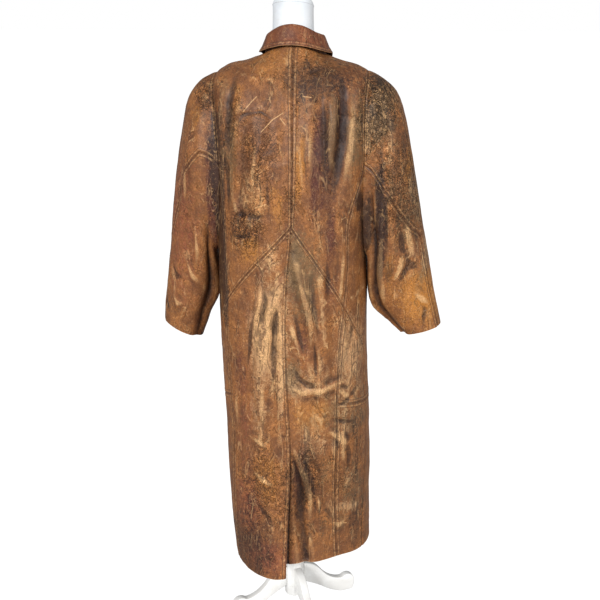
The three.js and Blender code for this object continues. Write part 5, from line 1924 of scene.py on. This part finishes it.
def jersey_material():
    t = Tree("jersey")
    wash = t.noise(t.place, 9, 4, 0.6)
    grime = t.ramp(t.noise(t.place, 30, 4, 0.6), 0.5, 0.75)
    colour = t.mix(t.ramp(wash, 0.35, 0.65), paint_colour(216, 222, 228), paint_colour(232, 235, 238))
    colour = t.mix(t.times(grime, 0.35), colour, paint_colour(196, 194, 188))
    t.surface(colour, t.ramp(grime, 0.0, 1.0, 0.78, 0.9))
    columns, rows = (t.add("ShaderNodeTexWave", 1, {"bands_direction": direction}, Vector=t.place,
                           Scale=scale, Distortion=0.6)
                     for direction, scale in (("X", 190.0), ("Z", 240.0)))
    t.bump(t.times(columns, rows), 0.5, 0.0004)
    t.shader.inputs["Sheen Weight"].default_value = 0.35
    t.shader.inputs["Sheen Roughness"].default_value = 0.4
    return t.material


shoulder = body_surface(np.array([shoulder_angle]), np.array([1.0]), 1)[0]
shoulder_ring = [shoulder[2] - wall / 2 - form_shoulder["clearance"],
                 shoulder[0] - form_shoulder["inside"], form_shoulder["back"], form_shoulder["front"], 2.0]
form_rows = np.array(form_rings + [shoulder_ring] + form_neck_rings, float)
last_row = len(form_rows) - 1
fine_rows = along(form_rows, np.linspace(0, last_row, last_row * rows_between + 1))
body_count = (len(form_rings) - 1) * rows_between + 1
fine_rows[body_count:, 4] = 2.0
form_turns = np.arange(form_sides) / form_sides * 2 * np.pi
neck_tilt = neck["tilt"] * smoothstep(fine_rows[:, 0], neck["tilt_from"], neck["seam"])
form_grid = form_point(fine_rows, form_turns, neck_tilt)
jersey = jersey_material()
form_points, form_faces = closed_loft(form_grid)
form_piece = raw_object("dress_form_jersey", form_points + offset, form_faces, jersey)
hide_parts("dress_form")
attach(form_piece, "root")


# %% Close the neck
arcs = np.radians(np.linspace(0, neck["cap_arc"], 14))
cap_start = neck["seam"] + neck["gap"] / math.cos(math.radians(neck["tilt"]))
cap_radius = neck["radius"] * np.cos(arcs)
cap_rows = np.stack([cap_start + neck["cap_rise"] * np.sin(arcs), cap_radius, cap_radius, cap_radius,
                     np.full(len(arcs), 2.0)], -1)
cap_tilt = np.full(len(arcs), float(neck["tilt"]))
cap_points, cap_faces = closed_loft(form_point(cap_rows, form_turns, cap_tilt))
cap_piece = raw_object("neck_cap_jersey", cap_points + offset, cap_faces, jersey)
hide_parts("neck_cap")
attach(cap_piece, "root")

# The seam between neck and cap: a thin piped ring that follows the tilt.
pipe = {"radius": 1.1, "sunk": 0.2, "sides": 10}
tilt_slope = math.tan(math.radians(neck["tilt"]))
ring_points = []
ring_faces = []
for k, turn in enumerate(form_turns):
    here = k * pipe["sides"]
    there = (k + 1) % form_sides * pipe["sides"]
    for n in range(pipe["sides"]):
        around = n / pipe["sides"] * 2 * math.pi
        radius = neck["radius"] + pipe["radius"] * math.cos(around) - pipe["sunk"]
        y = radius * math.cos(turn)
        z = neck["seam"] + y * tilt_slope + pipe["radius"] * math.sin(around)
        ring_points.append((radius * math.sin(turn), y, z))
        after = (n + 1) % pipe["sides"]
        ring_faces.append((here + n, here + after, there + after, there + n))
piping = mesh_object("neck_seam_piping", np.array(ring_points), np.array(ring_faces), jersey)
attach(piping, "root")
print("form made with", len(fine_rows), "rows and a cap of", len(arcs))


# %% [markdown]
# ## Stand
#
# The stand is painted wood and a painted tube. Its shapes are the frame's own, so each is
# copied from there, its sharp edges are rounded with a bevel as a sander would, and the
# paint has brush marks and yellowed scuffs.

# %% Round and paint the stand
def paint_material():
    t = Tree("white_paint")
    brush = t.noise(t.stretch(1, 1, 8), 60, 4, 0.6)
    wash = t.noise(t.place, 12, 4, 0.6)
    colour = t.mix(t.ramp(wash, 0.35, 0.65), paint_colour(226, 224, 220), paint_colour(240, 240, 238))
    scuff = t.times(t.ramp(t.noise(t.place, 110, 4, 0.7), 0.62, 0.75), 0.5)
    colour = t.mix(scuff, colour, paint_colour(188, 182, 172))
    t.surface(colour, t.ramp(brush, 0.3, 0.7, 0.36, 0.52))
    t.bump(brush, 0.25, 0.0006)
    t.shader.inputs["Coat Weight"].default_value = 0.15
    return t.material


white_paint = paint_material()
stand_nodes = ["stand_post", "stand_hub"] + [f"stand_leg_{k}" for k in range(1, 5)]
edge_round = {"stand_post": 0.0008, "stand_hub": 0.002}
leg_round = 0.003
weld_distance = 0.00002
flat_angle, edge_angle, stand_sharp_angle = np.radians([1, 35, 40])
for node in stand_nodes:
    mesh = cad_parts[node].data.copy()
    bm = bmesh.new()
    bm.from_mesh(mesh)
    bmesh.ops.remove_doubles(bm, verts=bm.verts, dist=weld_distance)
    bmesh.ops.dissolve_limit(bm, angle_limit=flat_angle, verts=bm.verts, edges=bm.edges)
    bm.to_mesh(mesh)
    bm.free()
    mesh.materials.clear()
    mesh.materials.append(white_paint)
    mesh.polygons.foreach_set("use_smooth", [True] * len(mesh.polygons))
    piece = placed(f"{node}_painted", mesh)
    rounding = piece.modifiers.new("rounded edges", "BEVEL")
    rounding.width = edge_round.get(node, leg_round)
    rounding.segments = 3
    rounding.limit_method = "ANGLE"
    rounding.angle_limit = edge_angle
    plain_mesh(piece)
    piece.data.set_sharp_from_angle(angle=stand_sharp_angle)
    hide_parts(node)
    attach(piece, "root")
print("stand painted", len(stand_nodes))


# %% [markdown]
# ## The cut of each panel
#
# Every piece of leather was cut flat. Each panel's cut width, length and area are printed
# here, with the area kept between a share of the cut rectangle and the whole of it. The
# frame checks that a panel's area and length still fit the piece of hide that it was cut
# from, so each is stated here.

# %% State each sheet
least_share = 0.3
for name, panel_data in panels.items():
    width, length = panel_data["size"]
    area = panel_data["area"]
    if area > width * length:
        length = area / width
    area = max(min(area, width * length), least_share * width * length)
    print(f"{name}: cut {width:.3f} by {length:.3f} m, area {area:.3f} square metres")


# %% [markdown]
# ## The studio
#
# The coat stands on one pale floor before white paper. One wide light comes from the left
# behind the camera, a weaker one from the right, and the floor has a light of its own.

# %% Floor and paper
floor_half = 60
floor_corners = [(x * floor_half, y * floor_half, 0) for x, y in ((-1, -1), (1, -1), (1, 1), (-1, 1))]
floor_mesh = bpy.data.meshes.new("floor")
floor_mesh.from_pydata(floor_corners, [], [(0, 1, 2, 3)])
floor = placed("floor", floor_mesh)
floor_material = bpy.data.materials.new("floor")
floor_material.use_nodes = True
floor_shader = floor_material.node_tree.nodes["Principled BSDF"]
floor_shader.inputs["Base Color"].default_value = (0.9, 0.9, 0.9, 1)
floor_mesh.materials.append(floor_material)

paper_light = 0.31
paper_seen = 1.0
world = bpy.data.worlds.new("studio")
world.use_nodes = True
sky = world.node_tree.nodes["Background"]
sky.inputs["Color"].default_value = (1, 1, 1, 1)
seen = world.node_tree.nodes.new("ShaderNodeLightPath")
brightness = world.node_tree.nodes.new("ShaderNodeMapRange")
brightness.inputs["To Min"].default_value = paper_light
brightness.inputs["To Max"].default_value = paper_seen
world.node_tree.links.new(seen.outputs["Is Camera Ray"], brightness.inputs["Value"])
world.node_tree.links.new(brightness.outputs["Result"], sky.inputs["Strength"])
bpy.context.scene.world = world
bpy.context.scene.view_settings.view_transform = "Standard"


# %% Lights
def soft_light(name, came_from, spread, strength):
    """A wide, even light from far away, as from a large screen."""
    light = bpy.data.lights.new(name, "SUN")
    light.angle = math.radians(spread)
    light.energy = strength
    lamp = bpy.data.objects.new(name, light)
    lamp.rotation_euler = Vector(came_from).to_track_quat("Z", "Y").to_euler()
    bpy.context.scene.collection.objects.link(lamp)
    return lamp


def only(piece, state, label):
    """A collection that tells a light to reach one object alone, or all but that one."""
    group = bpy.data.collections.new(label)
    group.objects.link(piece)
    group.collection_objects[-1].light_linking.link_state = state
    return group


floor.visible_diffuse = False
floor.visible_glossy = False
skip_floor = only(floor, "EXCLUDE", "all but the floor")
floor_only = only(floor, "INCLUDE", "the floor alone")
key = soft_light("key", came_from=(0.35, 1.0, 0.38), spread=18, strength=3.05)
fill = soft_light("fill", came_from=(-0.9, 0.6, 0.3), spread=30, strength=1.65)
for lamp in (key, fill):
    lamp.light_linking.receiver_collection = skip_floor
floor_light = soft_light("floor light", came_from=(0.0, 0.0, 1.0), spread=40, strength=3.2)
floor_light.light_linking.receiver_collection = floor_only
floor_light.light_linking.blocker_collection = floor_only


# %% Camera
camera_off_axis = (-0.3766, 2.2792)
camera_height = 1.575
looks_along = (0.1564, -0.9877)
looks_down = 17
lens = {"focal": 57.84, "sensor": 36}
camera_data = bpy.data.cameras.new("camera")
camera_data.lens = lens["focal"]
camera_data.sensor_width = lens["sensor"]
camera = bpy.data.objects.new("camera", camera_data)
camera.location = (axis_x + camera_off_axis[0], axis_y + camera_off_axis[1], camera_height)
direction = Vector((*looks_along, -math.tan(math.radians(looks_down))))
camera.rotation_euler = direction.to_track_quat("-Z", "Y").to_euler()
bpy.context.scene.collection.objects.link(camera)
bpy.context.scene.camera = camera
